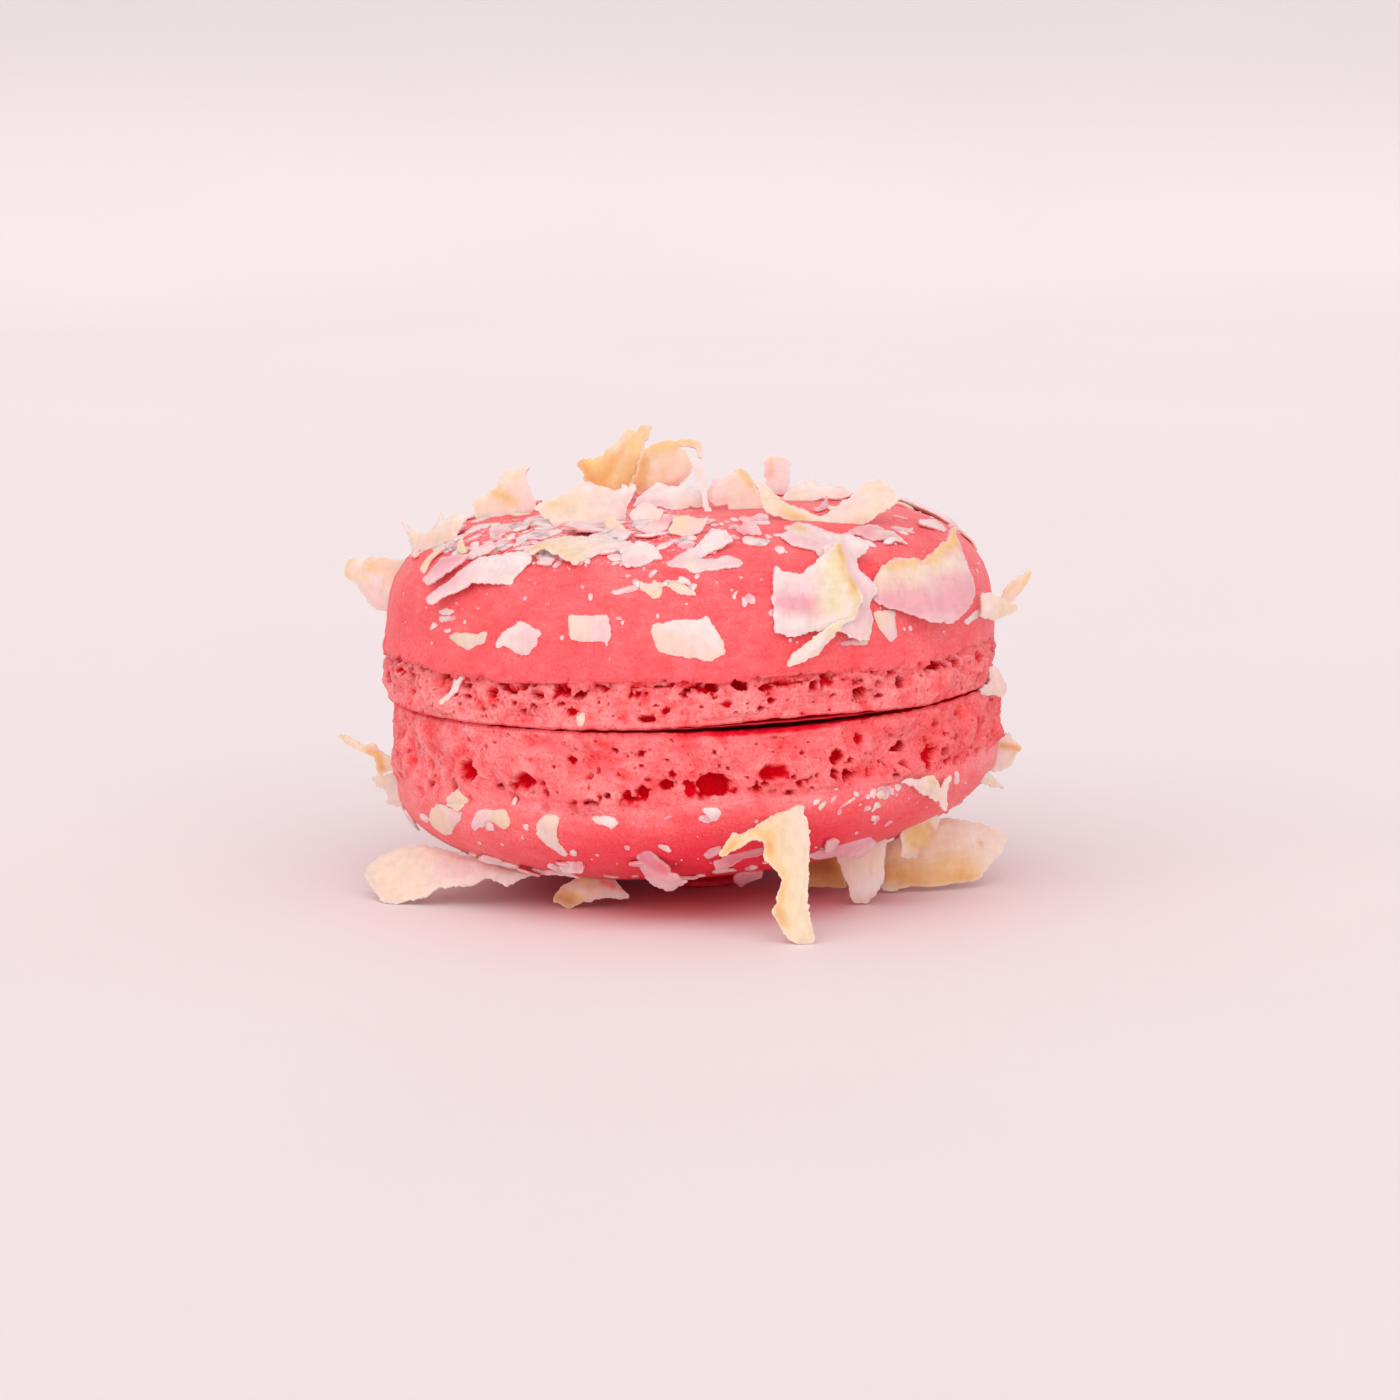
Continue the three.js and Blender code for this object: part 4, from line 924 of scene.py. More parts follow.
# azimuth, climb, outline and colours of the flakes that show from the front
FLAKES = {
    "upper_shell": (
        Flake(-45.5, 0.05, (
            (-2, 0.1), (-1.1, 0.5), (1.4, 0.6), (2, 0.9), (2, 0.1), (0.1, -0.7),
        ), (CREAM, IVORY)),
        Flake(-33, 0.07, (
            (-2, -0.9), (-1.9, -0.2), (-1.1, 0.5), (0.2, 1.2), (2, 0.4), (1.5, 0), (1.7, -0.3), (0.9, -1.1),
            (0.4, -1.2), (-1.1, -0.6),
        ), (WHITE, BLUSH)),
        Flake(-18.5, 0.1, (
            (-1.7, 0.9), (-1.5, 1.1), (1.4, 1.1), (1.6, -0.4), (1.2, -0.7), (1.4, -1.1), (1, -0.7),
            (-0.1, -0.8), (-1.4, -0.6),
        ), (CREAM, BLUSH)),
        Flake(-0.5, 0.07, (
            (-2.6, 0.8), (-2.1, 1.2), (0.2, 1.5), (0.9, 1.3), (1.4, 1.7), (2.6, -0.2), (2.6, -1.2),
            (1.3, -1.6), (-2, -0.8),
        ), (CREAM, WHITE)),
        Flake(-7.5, 0.29, (
            (-0.7, 0.7), (-0.4, 0.5), (0.7, 0.6), (1, 0.2), (0.8, -0.6), (0.4, -0.7), (-0.5, -0.1),
            (-0.9, 0.5),
        ), (CREAM, IVORY)),
        Flake(-1.5, 0.3, (
            (1.2, -0.7), (-0.1, -0.6), (-1.1, 0.2), (-0.7, 0.6), (-0.2, 0.6),
        ), (IVORY, CREAM)),
        Flake(0, 0.33, ((0.6, -0.6), (0.3, -0.6), (-0.8, 0.4), (-0.6, 0.6), (-0.1, 0.3)), (BLUSH, WHITE)),
        Flake(-12, 0.29, ((1, 0.1), (-0.4, -0.4), (-1, -0.4), (-1.1, -0.1), (0.5, 0.4)), (BLUSH, PINK)),
        Flake(-7.5, 0.39, ((-0.3, -0.2), (0.2, 0.4), (0.4, 0.1), (0, -0.5)), (BLUSH, WHITE)),
        Flake(9, 0.25, ((0.3, 0.4), (-0.1, -0.1), (0.1, -0.2), (-0.3, -0.4), (-0.3, 0.2)), (BLUSH, WHITE)),
        Flake(11.5, 0.23, ((-0.5, -0.1), (-0.1, 0.5), (0.5, -0.3), (0, -0.5)), (BLUSH, PINK)),
        Flake(31, 0.04, ((-1.1, 0), (0.4, 0.3), (1.2, -0.1), (1, -0.4), (-1, -0.2)), (CREAM, PINK)),
        Flake(38.5, 0.07, (
            (-1, 1.2), (1, 1), (0.7, 0.4), (0.9, -0.9), (0.3, -1.1), (-0.2, -0.8), (-1, 0.4),
        ), (CREAM, BLUSH)),
        Flake(65.5, 0.05, ((-1.5, -0.1), (1.5, 0.4), (1.6, -0.2), (-1.4, -0.5)), (BLUSH, WHITE)),
        Flake(-23.5, 0.76, ((1, -0.6), (-0.4, -0.7), (-0.9, 0.1), (-0.4, 0.7)), (IVORY, CREAM), tip=48),
        Flake(-17.5, 0.86, (
            (1.3, 0.1), (0.9, -0.8), (-0.9, -0.6), (-1.3, -0.2), (-0.6, 0.8), (0.2, 0.7),
        ), (WHITE, CREAM), tip=50),
        Flake(-10, 0.74, (
            (1.3, 1), (0.9, -0.5), (-0.3, -0.9), (-1.4, -0.4), (-0.8, -0.3), (0.3, 0.6),
        ), (BLUSH, PINK), tip=35),
        Flake(0.5, 0.72, (
            (1.5, 0.8), (0.7, -0.6), (-0.3, -0.9), (-1.5, -0.5), (-1.1, 0.8), (-0.2, 1), (0.9, 0.6),
        ), (IVORY, BLUSH), tip=35),
        Flake(-108.5, 0.06, (
            (-2.6, 0), (-2.1, -0.3), (-0.4, -0.2), (0.6, -1.1), (1.8, -0.9), (1.8, -0.2), (2.3, 1),
            (1.3, 1.3), (-0.2, 1.2), (-2.1, 0.4), (-0.8, 0),
        ), (STRAW, CREAM), tip=10),
        Flake(-67, 0.38, (
            (0.7, -1.3), (-0.6, -1.1), (-0.8, -0.6), (-0.8, 0.9), (-0.5, 1.4), (0.4, 1.2), (0.1, -0.3),
        ), (STRAW, CREAM), tip=6),
        Flake(-60.5, 0.49, (
            (-1.2, 0.8), (1.1, -0.2), (1.3, -0.6), (0.7, -0.9), (-0.7, 0),
        ), (STRAW, CREAM), tip=20),
        Flake(-51, 0.47, (
            (1.4, 0.6), (0.6, -0.1), (-1.2, -0.8), (-1.3, 0), (0.3, 0.8),
        ), (WHITE, BLUSH), tip=25),
        Flake(-52, 0.14, ((1, 0.1), (0.5, -0.2), (-0.4, -0.3), (-1, -0.1), (-0.2, 0.2)), (WHITE, BLUSH)),
        Flake(-51.5, 0.11, ((-1, 0.1), (1, 0.3), (0.9, 0), (-0.7, -0.3)), (PINK, BLUSH)),
        Flake(-55, 0.08, ((-0.7, -0.4), (-0.2, 0.3), (0.6, 0.1), (0, -0.1)), (WHITE, BLUSH)),
        Flake(-51, 0.07, ((-0.5, -0.1), (-0.1, 0.2), (0.5, 0.2), (0.1, -0.2)), (BLUSH, WHITE)),
        Flake(17, 0.7, (
            (0.8, -0.9), (-0.6, -0.7), (-1.1, -0.3), (-0.2, 0.3), (-0.7, 0.5), (-0.4, 0.8), (0, 0.7),
            (0.1, 0.2), (0.6, 0.1),
        ), (BLUSH, PINK), tip=40),
        Flake(24.5, 0.8, (
            (1.1, 0.2), (0.5, -0.5), (-0.4, -0.4), (-1.1, 0.1), (-0.3, 0.2), (0.1, 0.4),
        ), (BLUSH, PINK), tip=40),
        Flake(21, 0.52, ((-0.2, -0.6), (-0.4, 0.1), (-0.2, 0.6), (0.4, 0.5), (0.3, -0.3)), (BLUSH, WHITE)),
        Flake(67.5, 0.84, ((2.2, 0.4), (0.8, -0.3), (-1.2, -0.6), (-1.9, -0.3)), (BLUSH, PINK), tip=50),
        Flake(63.5, 0.54, ((-0.6, 0.1), (1.3, 0.3), (1, 0.1), (-1, -0.3)), (WHITE, BLUSH)),
        Flake(77, 0.51, (
            (-2.2, 0.7), (-1, 1), (1.6, 0.3), (1.6, -0.9), (0.1, -0.9),
        ), (BLUSH, WHITE), tip=10),
        Flake(52, 0.48, (
            (0.9, -0.6), (0, 0), (-1.2, -0.1), (-1.5, 0.1), (-0.4, 0.4), (0.6, 0.3),
        ), (WHITE, BLUSH), tip=12),
        Flake(-48.5, None, (
            (0.9, 2), (0.2, 0.7), (-1.3, -0.7), (-1.8, -0.5), (-0.6, 0.6), (-0.6, 2.2),
        ), (WHITE, CREAM), height=1.6),
        Flake(-22, None, ((0.2, 0.3), (0.8, 0.6), (1, -0.1), (0.5, -0.5)), (CREAM, IVORY), height=0.7),
    ),
    "lower_shell": (
        Flake(-56, 0.08, (
            (2.8, 1.2), (1.7, -0.5), (-0.1, -1.6), (-1, -1.5), (-0.7, -0.8), (-2.5, -0.6), (-2.2, -0.1),
            (-0.8, 0.8), (0.1, 1.5), (1.6, 1.8),
        ), (IVORY, BLUSH)),
        Flake(-51, 0, (
            (-1.3, -0.3), (-0.4, 0.6), (1.3, 0.3), (1.4, -0.2), (-0.2, -1),
        ), (IVORY, CREAM), tip=6),
        Flake(-42, 0.06, (
            (2.1, 1.1), (2.2, 0.5), (1.1, -0.6), (0.2, -1), (-1.4, -1), (-1.9, 0), (-1.8, 0.4), (-1.1, 0.8),
            (-0.4, 0.3), (0.1, 0.2),
        ), (IVORY, BLUSH)),
        Flake(-29, 0.15, (
            (-0.5, 2.3), (-0.1, 2.1), (1, -0.1), (0.9, -0.9), (0.1, -2.1), (-0.3, -1.9), (-0.8, -2.3),
            (-1.2, -1.9), (-0.6, -0.5), (-0.5, 0.7), (-0.7, 1.8),
        ), (CREAM, WHITE)),
        Flake(-17.5, 0.05, (
            (-1.2, 0.1), (-0.7, 0.6), (1, -0.2), (0.8, -0.6), (0, -0.4), (-0.3, -0.6), (-0.4, -0.4),
        ), (WHITE, CREAM)),
        Flake(-36.5, 0, ((-0.3, -0.9), (-0.3, -0.5), (0.1, 0), (0.3, -0.1), (0.1, -0.7)), (BLUSH, WHITE)),
        Flake(-104, 0.65, ((1.1, -0.5), (0, 0.3), (-0.8, 0.5), (-0.7, 0), (0.7, -0.5)), (BLUSH, WHITE)),
        Flake(-37, 0.47, (
            (-1.9, 0.3), (0.3, 0.1), (2.1, 0.2), (1.9, -0.2), (0.4, -0.3), (-1.2, -0.3),
        ), (BLUSH, PINK), tip=40),
        Flake(2.5, 0.06, (
            (0.7, -0.6), (-0.4, -0.5), (-0.8, 0), (-0.5, 0.5), (0.3, 0.5), (0.1, 0.2), (0.8, -0.3),
        ), (WHITE, BLUSH)),
        Flake(-5, 0.05, ((-0.4, 0), (0.4, 0.3), (0.5, 0.1), (-0.3, -0.3)), (PINK, BLUSH)),
        Flake(3, 0.31, ((0.3, 1), (0.7, 0.2), (0.3, -0.5), (-0.4, -1), (-0.7, -0.4)), (PINK, BLUSH)),
        Flake(19.5, 0.7, (
            (-0.5, 2.9), (1, 0.1), (1.4, -1.8), (1.1, -2.8), (-0.3, -2.3), (-0.9, -0.6), (-0.1, 0.7),
        ), (PINK, BLUSH), tip=10),
        Flake(5.5, 0.9, ((0.4, 2.1), (0.1, 1.9), (-0.3, -2.3), (-0.1, -1.9)), (BLUSH, WHITE)),
        Flake(-6.5, 0.24, (
            (-0.6, 0.3), (-0.2, 0.4), (0.3, 0), (0.5, -0.4), (0, -0.3),
        ), (BLUSH, WHITE), tip=10),
        Flake(27, 0.01, ((0.4, -0.4), (-0.2, -0.4), (-0.3, 0), (0.1, 0.3), (0.4, 0.1)), (WHITE, BLUSH)),
        Flake(30.5, 0.02, ((0.6, 0), (0, -0.3), (-0.4, -0.2), (-0.5, 0.4)), (BLUSH, WHITE)),
        Flake(29, 0.07, ((0.7, 0.4), (-0.6, -0.4), (-0.8, -0.3), (0.3, 0.2)), (CREAM, BLUSH)),
        Flake(33.5, 0.05, ((0.2, 0.1), (-0.1, -0.2), (-0.3, 0.2), (-0.1, 0.3)), (WHITE, BLUSH)),
        Flake(37.5, 0.05, (
            (-0.6, 0.3), (-0.2, 0.6), (0.4, 0.3), (0.7, -0.1), (0.6, -0.5), (0.1, -0.6), (-0.6, -0.2),
        ), (BLUSH, PINK)),
        Flake(36.5, 0.13, ((-0.4, 0), (0.1, 0.1), (0.4, 0.5), (0.4, -0.2), (0.2, -0.6)), (BLUSH, WHITE)),
        Flake(58.5, 0.06, ((-0.4, 0.6), (0.3, 0.4), (0.5, -0.5), (0.1, -0.5), (-0.4, 0)), (BLUSH, WHITE)),
        Flake(-96.5, 0.2, ((3, 0), (0.7, 0.6), (-2.2, 0.2), (-2.7, -0.1), (1.1, -0.4)), (CREAM, BLUSH)),
        Flake(-65.5, 0.12, (
            (-1.2, -0.1), (-0.4, 0.3), (0.8, 0.3), (0.8, -0.2), (-0.3, -0.4),
        ), (BLUSH, WHITE)),
    ),
}
PAIRS = ((WHITE, BLUSH), (WHITE, CREAM), (CREAM, IVORY), (BLUSH, PINK), (WHITE, PINK), (BLUSH, WHITE))


@dataclass(frozen=True)
class Scatter:
    """Flakes strewn by a rule over part of a shell: each range holds the lowest and the highest value."""

    count: int
    azimuth: tuple
    climb: tuple
    length: tuple
    slim: tuple = (0.35, 0.85)  # width as a share of the length
    tip: tuple = (0, 8)
    thickness: tuple = (0.12, 0.2)
    pairs: tuple = PAIRS


PILE = PAIRS[:1] + PAIRS[3:]
PINKISH = PAIRS[3:]


def specks(count, azimuth, climb, length=(0.1, 0.36)):
    """Scattered crumbs of coconut."""
    return Scatter(count, azimuth, climb, length, slim=(0.5, 1), thickness=(0.08, 0.16), pairs=PAIRS[4:])


FRONT_SCATTERS = {
    "upper_shell": (
        Scatter(120, (-74, -14), (0.44, 0.86), (0.5, 1.9), tip=(0, 6), pairs=PILE),
        Scatter(26, (-62, -8), (0.62, 0.95), (1.5, 3.0), tip=(0, 14), pairs=PILE),
        Scatter(40, (-26, 30), (0.56, 0.88), (0.5, 2.0), tip=(0, 5), pairs=PILE),
        Scatter(18, (30, 76), (0.5, 0.86), (0.6, 2.0), tip=(0, 5), pairs=PILE),
        Scatter(9, (-14, 3), (0.27, 0.37), (0.3, 0.9), tip=(0, 10)),
        specks(90, (-62, 72), (0.02, 0.55)),
        Scatter(12, (-56, 60), (0.06, 0.4), (0.4, 0.8), pairs=PINKISH),
    ),
    "lower_shell": (
        Scatter(12, (20, 42), (0.01, 0.13), (0.3, 1.1), slim=(0.3, 0.9)),
        specks(60, (-66, 66), (0.01, 0.42)),
        Scatter(10, (-60, 50), (0.08, 0.3), (0.5, 1.1), pairs=PINKISH),
        Scatter(24, (-64, 30), (0.34, 0.6), (0.8, 2.4), tip=(0, 26), pairs=PINKISH),
    ),
}
FAR_SCATTERS = {
    "upper_shell": (
        Scatter(70, (98, 290), (0.3, 0.92), (0.8, 2.6), tip=(0, 12)),
        specks(60, (72, 298), (0.02, 0.6), (0.1, 0.5)),
    ),
    "lower_shell": (
        Scatter(26, (66, 294), (0.05, 0.6), (0.6, 2.2), tip=(0, 16)),
        specks(40, (66, 294), (0.02, 0.5), (0.1, 0.45)),
    ),
}
STREWN = Scatter(12, (96, 286), (0.04, 0.84), (1.4, 3.2), tip=(0, 6))  # larger ones, on both shells


def scrap_outline(length, width, seed):
    """The corners of an uneven scrap."""
    count = 4 + int(4 * chance(seed, 7))
    corner = np.arange(count)
    turn = (corner + 0.3 + 0.5 * chance(corner, seed)) * 2 * math.pi / count
    reach = 0.5 * between(0.8, 1.2, corner, seed + 0.5)
    box_x, box_y = (np.sign(wave) * np.abs(wave) ** BOXINESS for wave in (np.cos(turn), np.sin(turn)))
    return np.stack([box_x * reach * length, box_y * reach * width], -1)


def scattered(scatter, seed):
    """The flakes of one scatter."""
    flakes = []
    for i in range(scatter.count):
        share = (i + chance(i, seed)) / scatter.count
        length = between(*scatter.length, chance(i, seed + 2) * i, seed + 2)
        width = length * between(*scatter.slim, i, seed + 3)
        flakes.append(
            Flake(
                azimuth=scatter.azimuth[0] + (scatter.azimuth[1] - scatter.azimuth[0]) * share,
                climb=between(*scatter.climb, i, seed + 1),
                outline=scrap_outline(length, width, seed + 7 * i),
                colours=scatter.pairs[int(len(scatter.pairs) * chance(i, seed + 8))],
                seed=seed + 7 * i,
                tip=between(*scatter.tip, i, seed + 5),
                turn=360 * chance(i, seed + 4),
                thickness=between(*scatter.thickness, i, seed + 6),
            )
        )
    return flakes


def flakes_of(shell):
    """All the flakes of a shell, each with its own seed."""
    flakes = [replace(flake, seed=i) for i, flake in enumerate(FLAKES[shell.name])]
    for group, scatter in enumerate((*FRONT_SCATTERS[shell.name], *FAR_SCATTERS[shell.name], STREWN)):
        flakes += scattered(scatter, 200 + 40 * group + 10 * shell.seed)
    return flakes


# ------------------------------------------------------------------------------------ coconut chips


@dataclass(frozen=True)
class Chip:
    """A thin curved sheet, as in the CAD model. `face` is the azimuth that its face looks to, its tilt up
    from lying flat, and its turn in its own plane, where its outline lies. `cup` across and `arch` along
    are curvatures, and `twist` turns one end against the other, in degrees. `look` is its colour, and then
    its streaks, and `rim` is the colour of its broken edges."""

    name: str
    at: tuple
    face: tuple
    outline: tuple
    cup: float = 0.0
    arch: float = 0.0
    twist: float = 0.0
    thickness: float = CHIP_THICKNESS
    look: tuple = (CREAM,)
    rim: tuple = tuple(WHITE)


CHIPS = (
    Chip("chip_peak_left", at=(-5.5, 3.5, 30.6), face=(-10, 72, 8), cup=0.1, twist=14, outline=(
        (-3.1, 0.3), (-2.7, 0.7), (-1.4, 0.6), (1.1, 2.6), (1.5, 2), (1.8, 2.6), (2.4, 2.8), (2.7, 2.5),
        (2, 0.9), (2.6, -0.4), (2.2, -1.6), (1.4, -2.5), (-0.4, -2.5), (-1.6, -1.9), (-2.7, -0.9),
        (-2.6, -0.4),
    ), look=(
        HONEY, streak(TOAST, 0.6, 0.4, (0.3, 0.8), (-1.3, -1.2)),
        streak(TOAST, 0.6, 0.3, (2.4, 0.3), (1.3, -0.4)),
        streak(STRAW, 0.5, 0.25, (0.9, 0.9), (-0.6, -1.4)),
        streak(STRAW, 0.4, 0.25, (1.7, 0.6), (0.9, -1.2)), streak(IVORY, 0.9, 0.6, (1, 2.4), (-0.2, 1.3)),
        streak(STRAW, 0.6, 0.5, (2.5, 2.7), (1.9, 1.6)), streak(TOAST, 0.5, 0.4, (-2.6, 0.4), (-2.1, -0.7)),
    )),
    Chip("chip_peak_right", at=(-1.7, 2.2, 30.3), face=(8, 72, 0), cup=0.16, outline=(
        (-3.1, -1.2), (-2, 1.4), (-1.1, 2.1), (1.4, 2.4), (2.5, 2.2), (2.4, 0.7), (1.8, 1.7), (0.7, 1.8),
        (1.4, 1.3), (1.7, 0), (0.9, -1), (-0.1, -1.6), (-2.5, -1.8),
    ), look=(
        CREAM, streak(GOLD, 0.9, 0.9, (-1.1, 1.6), (1.4, 2.3)),
        streak(TOAST, 0.9, 0.7, (-1.9, 0.7), (-2.3, -0.8)),
        streak(GOLD, 0.7, 0.5, (-0.3, -0.1), (-0.8, -0.9)), streak(PEACH, 0.7, 1.2, (0.7, 0), (0.1, -0.9)),
    )),
    Chip("chip_peak_strand", at=(0.9, -4.4, 30.1), face=(0, 78, -78), arch=0.04, outline=(
        (-2.4, -0.6), (-1.2, 0.2), (1.1, -0.1), (2.4, 0), (3.1, 0.9), (3.5, 0.8), (3.1, -0.2), (2.1, -0.5),
    ), look=(
        WHITE, streak(CREAM, 0.6, 0.4, (2.7, -0.2), (3.3, 0.8)),
    )),
    Chip("chip_top_sheet", at=(-7.7, -6.8, 29.3), face=(0, 48, 4), arch=0.05, cup=0.05, outline=(
        (-3.8, -0.4), (-1.4, 0.5), (-0.2, 1.4), (2.3, 0.5), (2.7, 0.7), (2.5, 1.2), (3, 1), (3.1, 0.6),
        (3.5, 1.2), (3.8, 0.8), (3, -0.7), (2.5, -2.5), (-1.1, -3.3), (-1.7, -3.3),
    ), look=(
        CREAM, streak(IVORY, 0.9, 1, (-3.3, -0.5), (-1.4, -0.6)),
        streak(GOLD, 0.35, 0.5, (-2.3, -0.6), (-1.8, -0.6)),
        streak(BLUSH, 0.8, 0.9, (2.4, -0.3), (2.2, -2.1)), streak(WHITE, 0.8, 0.5, (2.7, 0.3), (3.6, 1)),
        streak(IVORY, 0.6, 0.4, (-1.5, -1.6), (-1, -2.8)), streak(WHITE, 0.7, 0.3, (0, 0.7), (0.2, 0.6)),
    )),
    Chip("chip_top_left_fin", at=(-14.2, 1.0, 28.9), face=(-20, 68, 18), cup=0.08, outline=(
        (-1.6, -2.3), (-2.1, -1.3), (-2.2, -0.2), (-1, -0.1), (-0.7, 0.3), (-0.1, 0.3), (0.3, 1.1),
        (0.9, 1.3), (2.7, 1.2), (2.1, 0.7), (2.6, -1.8), (2.1, -2.6),
    ), look=(
        CREAM, streak(GOLD, 0.9, 0.45, (-0.2, -0.2), (1.1, -1.2)),
        streak(IVORY, 0.7, 0.8, (-1.8, -0.4), (-1.4, -1.3)), streak(IVORY, 0.6, 0.6, (1.2, 1), (1.6, -0.1)),
        streak(BLUSH, 0.7, 0.8, (2.1, -0.8), (2, -1.9)),
    )),
    Chip("chip_top_fan", at=(3.9, -3.2, 29.4), face=(10, 65, 0), cup=0.08, outline=(
        (1.3, -2.1), (-1.4, -2), (-1.4, -1), (-2.3, -1.2), (-2.9, -0.8), (-3, -0.1), (-2.4, 1), (-1.7, 0.9),
        (-0.5, 1.9), (-0.1, 1.6), (1, 0.1),
    ), look=(
        CREAM, streak(GOLD, 0.8, 0.5, (-0.4, 1.6), (0.2, 0.4)),
        streak(BLUSH, 0.7, 0.7, (-2.3, 0.6), (-2.4, -0.1)),
        streak(IVORY, 0.6, 0.4, (0.8, 0.4), (1.1, -0.8)),
    )),
    Chip("chip_top_pale", at=(-1.4, -2.6, 28.9), face=(0, 50, 4), arch=0.06, outline=(
        (-3.1, -0.6), (-2.7, 0.1), (-1.1, 1.3), (-0.4, 0.8), (1.7, 0.9), (2.5, 0.1), (2.5, -0.7),
        (1.9, -1.1), (1, -1), (0.3, -1.4), (-0.4, -1.2), (-0.9, -0.7), (-2, -1),
    ), look=(
        WHITE, streak(PEACH, 0.5, 0.5, (0.6, -1.1), (1.7, -1)),
        streak(BLUSH, 0.8, 0.6, (-2.5, -0.3), (-1.3, -0.7)),
    )),
    Chip("chip_boat", at=(9.9, -8.4, 28.8), face=(6, 52, 0), cup=0.1, outline=(
        (5, 1), (4.9, 0.4), (4.1, -0.3), (0.5, -2.3), (-0.3, -2.5), (-0.9, -2.4), (-3.1, -1), (-4.5, -0.6),
        (-5, 0.1), (-5.3, 2.4), (-4.7, 2.2), (-3.5, 0.5), (-0.8, -0.9), (2, 1.3), (2.2, 1.9), (3.6, 2.6),
    ), look=(
        CREAM, streak(IVORY, 0.9, 1.1, (-5, 1.6), (-3.6, -0.2)),
        streak(GOLD, 0.8, 0.45, (-3.2, -0.6), (-2.2, -1)), streak(GOLD, 0.55, 0.5, (-1.3, -2), (0.1, -2.3)),
        streak(IVORY, 0.8, 0.5, (0.5, -2.1), (3.8, -0.4)), streak(IVORY, 0.7, 0.5, (2.3, 1.6), (4.3, 1.5)),
        streak(BLUSH, 0.5, 0.6, (0.4, -0.3), (1.6, 0.2)),
    )),
    Chip("chip_back_stub", at=(6.2, 5.5, 29.8), face=(0, 80, 0), outline=(
        (0.9, -2.2), (-0.4, -1.8), (-1, -0.6), (-1, 0.9), (-0.4, 1.2), (0.3, 1.2), (1, 0.8), (0.8, -0.6),
        (1.1, -1.5),
    ), look=(
        WHITE, streak(GOLD, 0.5, 0.25, (-0.5, 0.9), (-0.4, -0.2)),
        streak(GOLD, 0.4, 0.2, (-0.1, 1), (0.8, 0.8)),
    )),
    Chip("chip_back_low", at=(9.4, 2.2, 28.6), face=(10, 40, 8), arch=0.08, outline=(
        (2.1, -0.5), (1.3, -1), (-0.1, -0.5), (-2.1, -1.3), (-2.7, -0.9), (-3.1, 0.1), (-2.2, 1),
        (-0.2, 1.7), (-0.1, 0.8), (1, 0.6),
    ), look=(
        CREAM, streak(IVORY, 0.7, 0.5, (-1.8, -0.3), (-1.7, -0.6)),
        streak(WHITE, 0.8, 0.8, (-1, 0.9), (0.3, 0.3)), streak(BLUSH, 0.7, 0.5, (1.3, -0.3), (1.7, -0.6)),
    )),
    Chip("chip_front_long", at=(-8.4, -15.4, 27.0), face=(-22, 27, 1), arch=0.04, outline=(
        (5.7, -0.1), (3.8, -0.4), (2.6, -0.3), (0.9, -2.6), (-1.8, -0.8), (-2.1, -0.8), (-2.7, -1.6),
        (-3.2, -0.9), (-3, -0.4), (-2.1, 0.4), (-0.4, 0.9), (0, 0.8), (0.2, 1.1), (0.7, 0.8), (1.6, 1),
        (5, 0.7),
    ), look=(
        CREAM, streak(GOLD, 0.8, 0.5, (-2.8, -0.9), (-2.2, -0.4)),
        streak(GOLD, 0.45, 0.9, (-0.8, -0.8), (0.6, -2)), streak(BLUSH, 0.9, 1.2, (3.7, 0.3), (5.3, 0.2)),
        streak(IVORY, 0.6, 0.5, (-1.6, 0), (-0.8, -0.2)),
    )),
    Chip("chip_front_quad", at=(-3.5, -17.2, 26.9), face=(-8, 30, -8), outline=(
        (1.8, -1), (1.2, -1.2), (0.3, -2.1), (-0.8, -2.4), (-1.6, -0.4), (-0.9, 0), (-0.6, 0.7), (0.4, 0.6),
    ), look=(
        BLUSH, streak(WHITE, 0.8, 1.2, (-0.6, 0.1), (0.5, -0.2)),
        streak(PINK, 0.4, 0.5, (-0.9, -2), (0, -2)),
    )),
    Chip("chip_front_fork", at=(1.1, -17.5, 27.0), face=(2, 30, 14), arch=0.05, outline=(
        (-3.4, -0.6), (-2.8, -0.6), (-0.2, 0.8), (0.8, 1.9), (1.7, 1.3), (1.9, 0.2), (-1.1, -1.1),
        (0.2, -1.6), (0.5, -1.3), (1, -1.3), (1.8, -1.9), (1.8, -2.4), (1.5, -2.7), (-1.9, -2.5),
        (-2.1, -1.9), (-3.1, -1.3),
    ), look=(
        BLUSH, streak(WHITE, 0.7, 1, (-0.4, 0.2), (1.2, 0.8)),
        streak(PINK, 0.6, 0.4, (-2.9, -0.9), (-2.3, -1)),
        streak(CREAM, 0.7, 0.5, (-1.7, -1.2), (-1.6, -1.8)),
        streak(PINK, 0.4, 0.5, (1.4, -2.2), (1.7, -2.4)),
    )),
    Chip("chip_left_long", at=(-15.6, -13.7, 25.1), face=(-42, 48, 20), arch=0.05, outline=(
        (-4, -1.6), (0.4, 0.8), (4.2, 0.6), (4.8, 0), (3.6, -1.7), (3.6, -2.2), (0.2, -1.6), (0, -1.9),
        (-2, -2.1), (-3.2, -2.5),
    ), look=(
        BLUSH, streak(WHITE, 0.7, 1.2, (1.3, 0.2), (3.8, 0)),
        streak(PINK, 0.5, 0.6, (-3, -1.5), (-1.2, -1.1)), streak(CREAM, 0.6, 0.5, (2.9, -1.8), (3.5, -2)),
    )),
    Chip("chip_left_second", at=(-17.4, -10.2, 25.7), face=(-56, 42, 22), arch=0.06, outline=(
        (2.2, -0.5), (1.9, -1.3), (0.1, -3), (-0.9, -2.8), (-1.5, -2.3), (-0.4, -0.5),
    ), look=(
        PINK, streak(BLUSH, 0.7, 0.5, (-1, -2.5), (-0.1, -2.8)),
        streak(ROSE, 0.3, 0.5, (0.2, -1), (1.1, -0.8)),
    )),
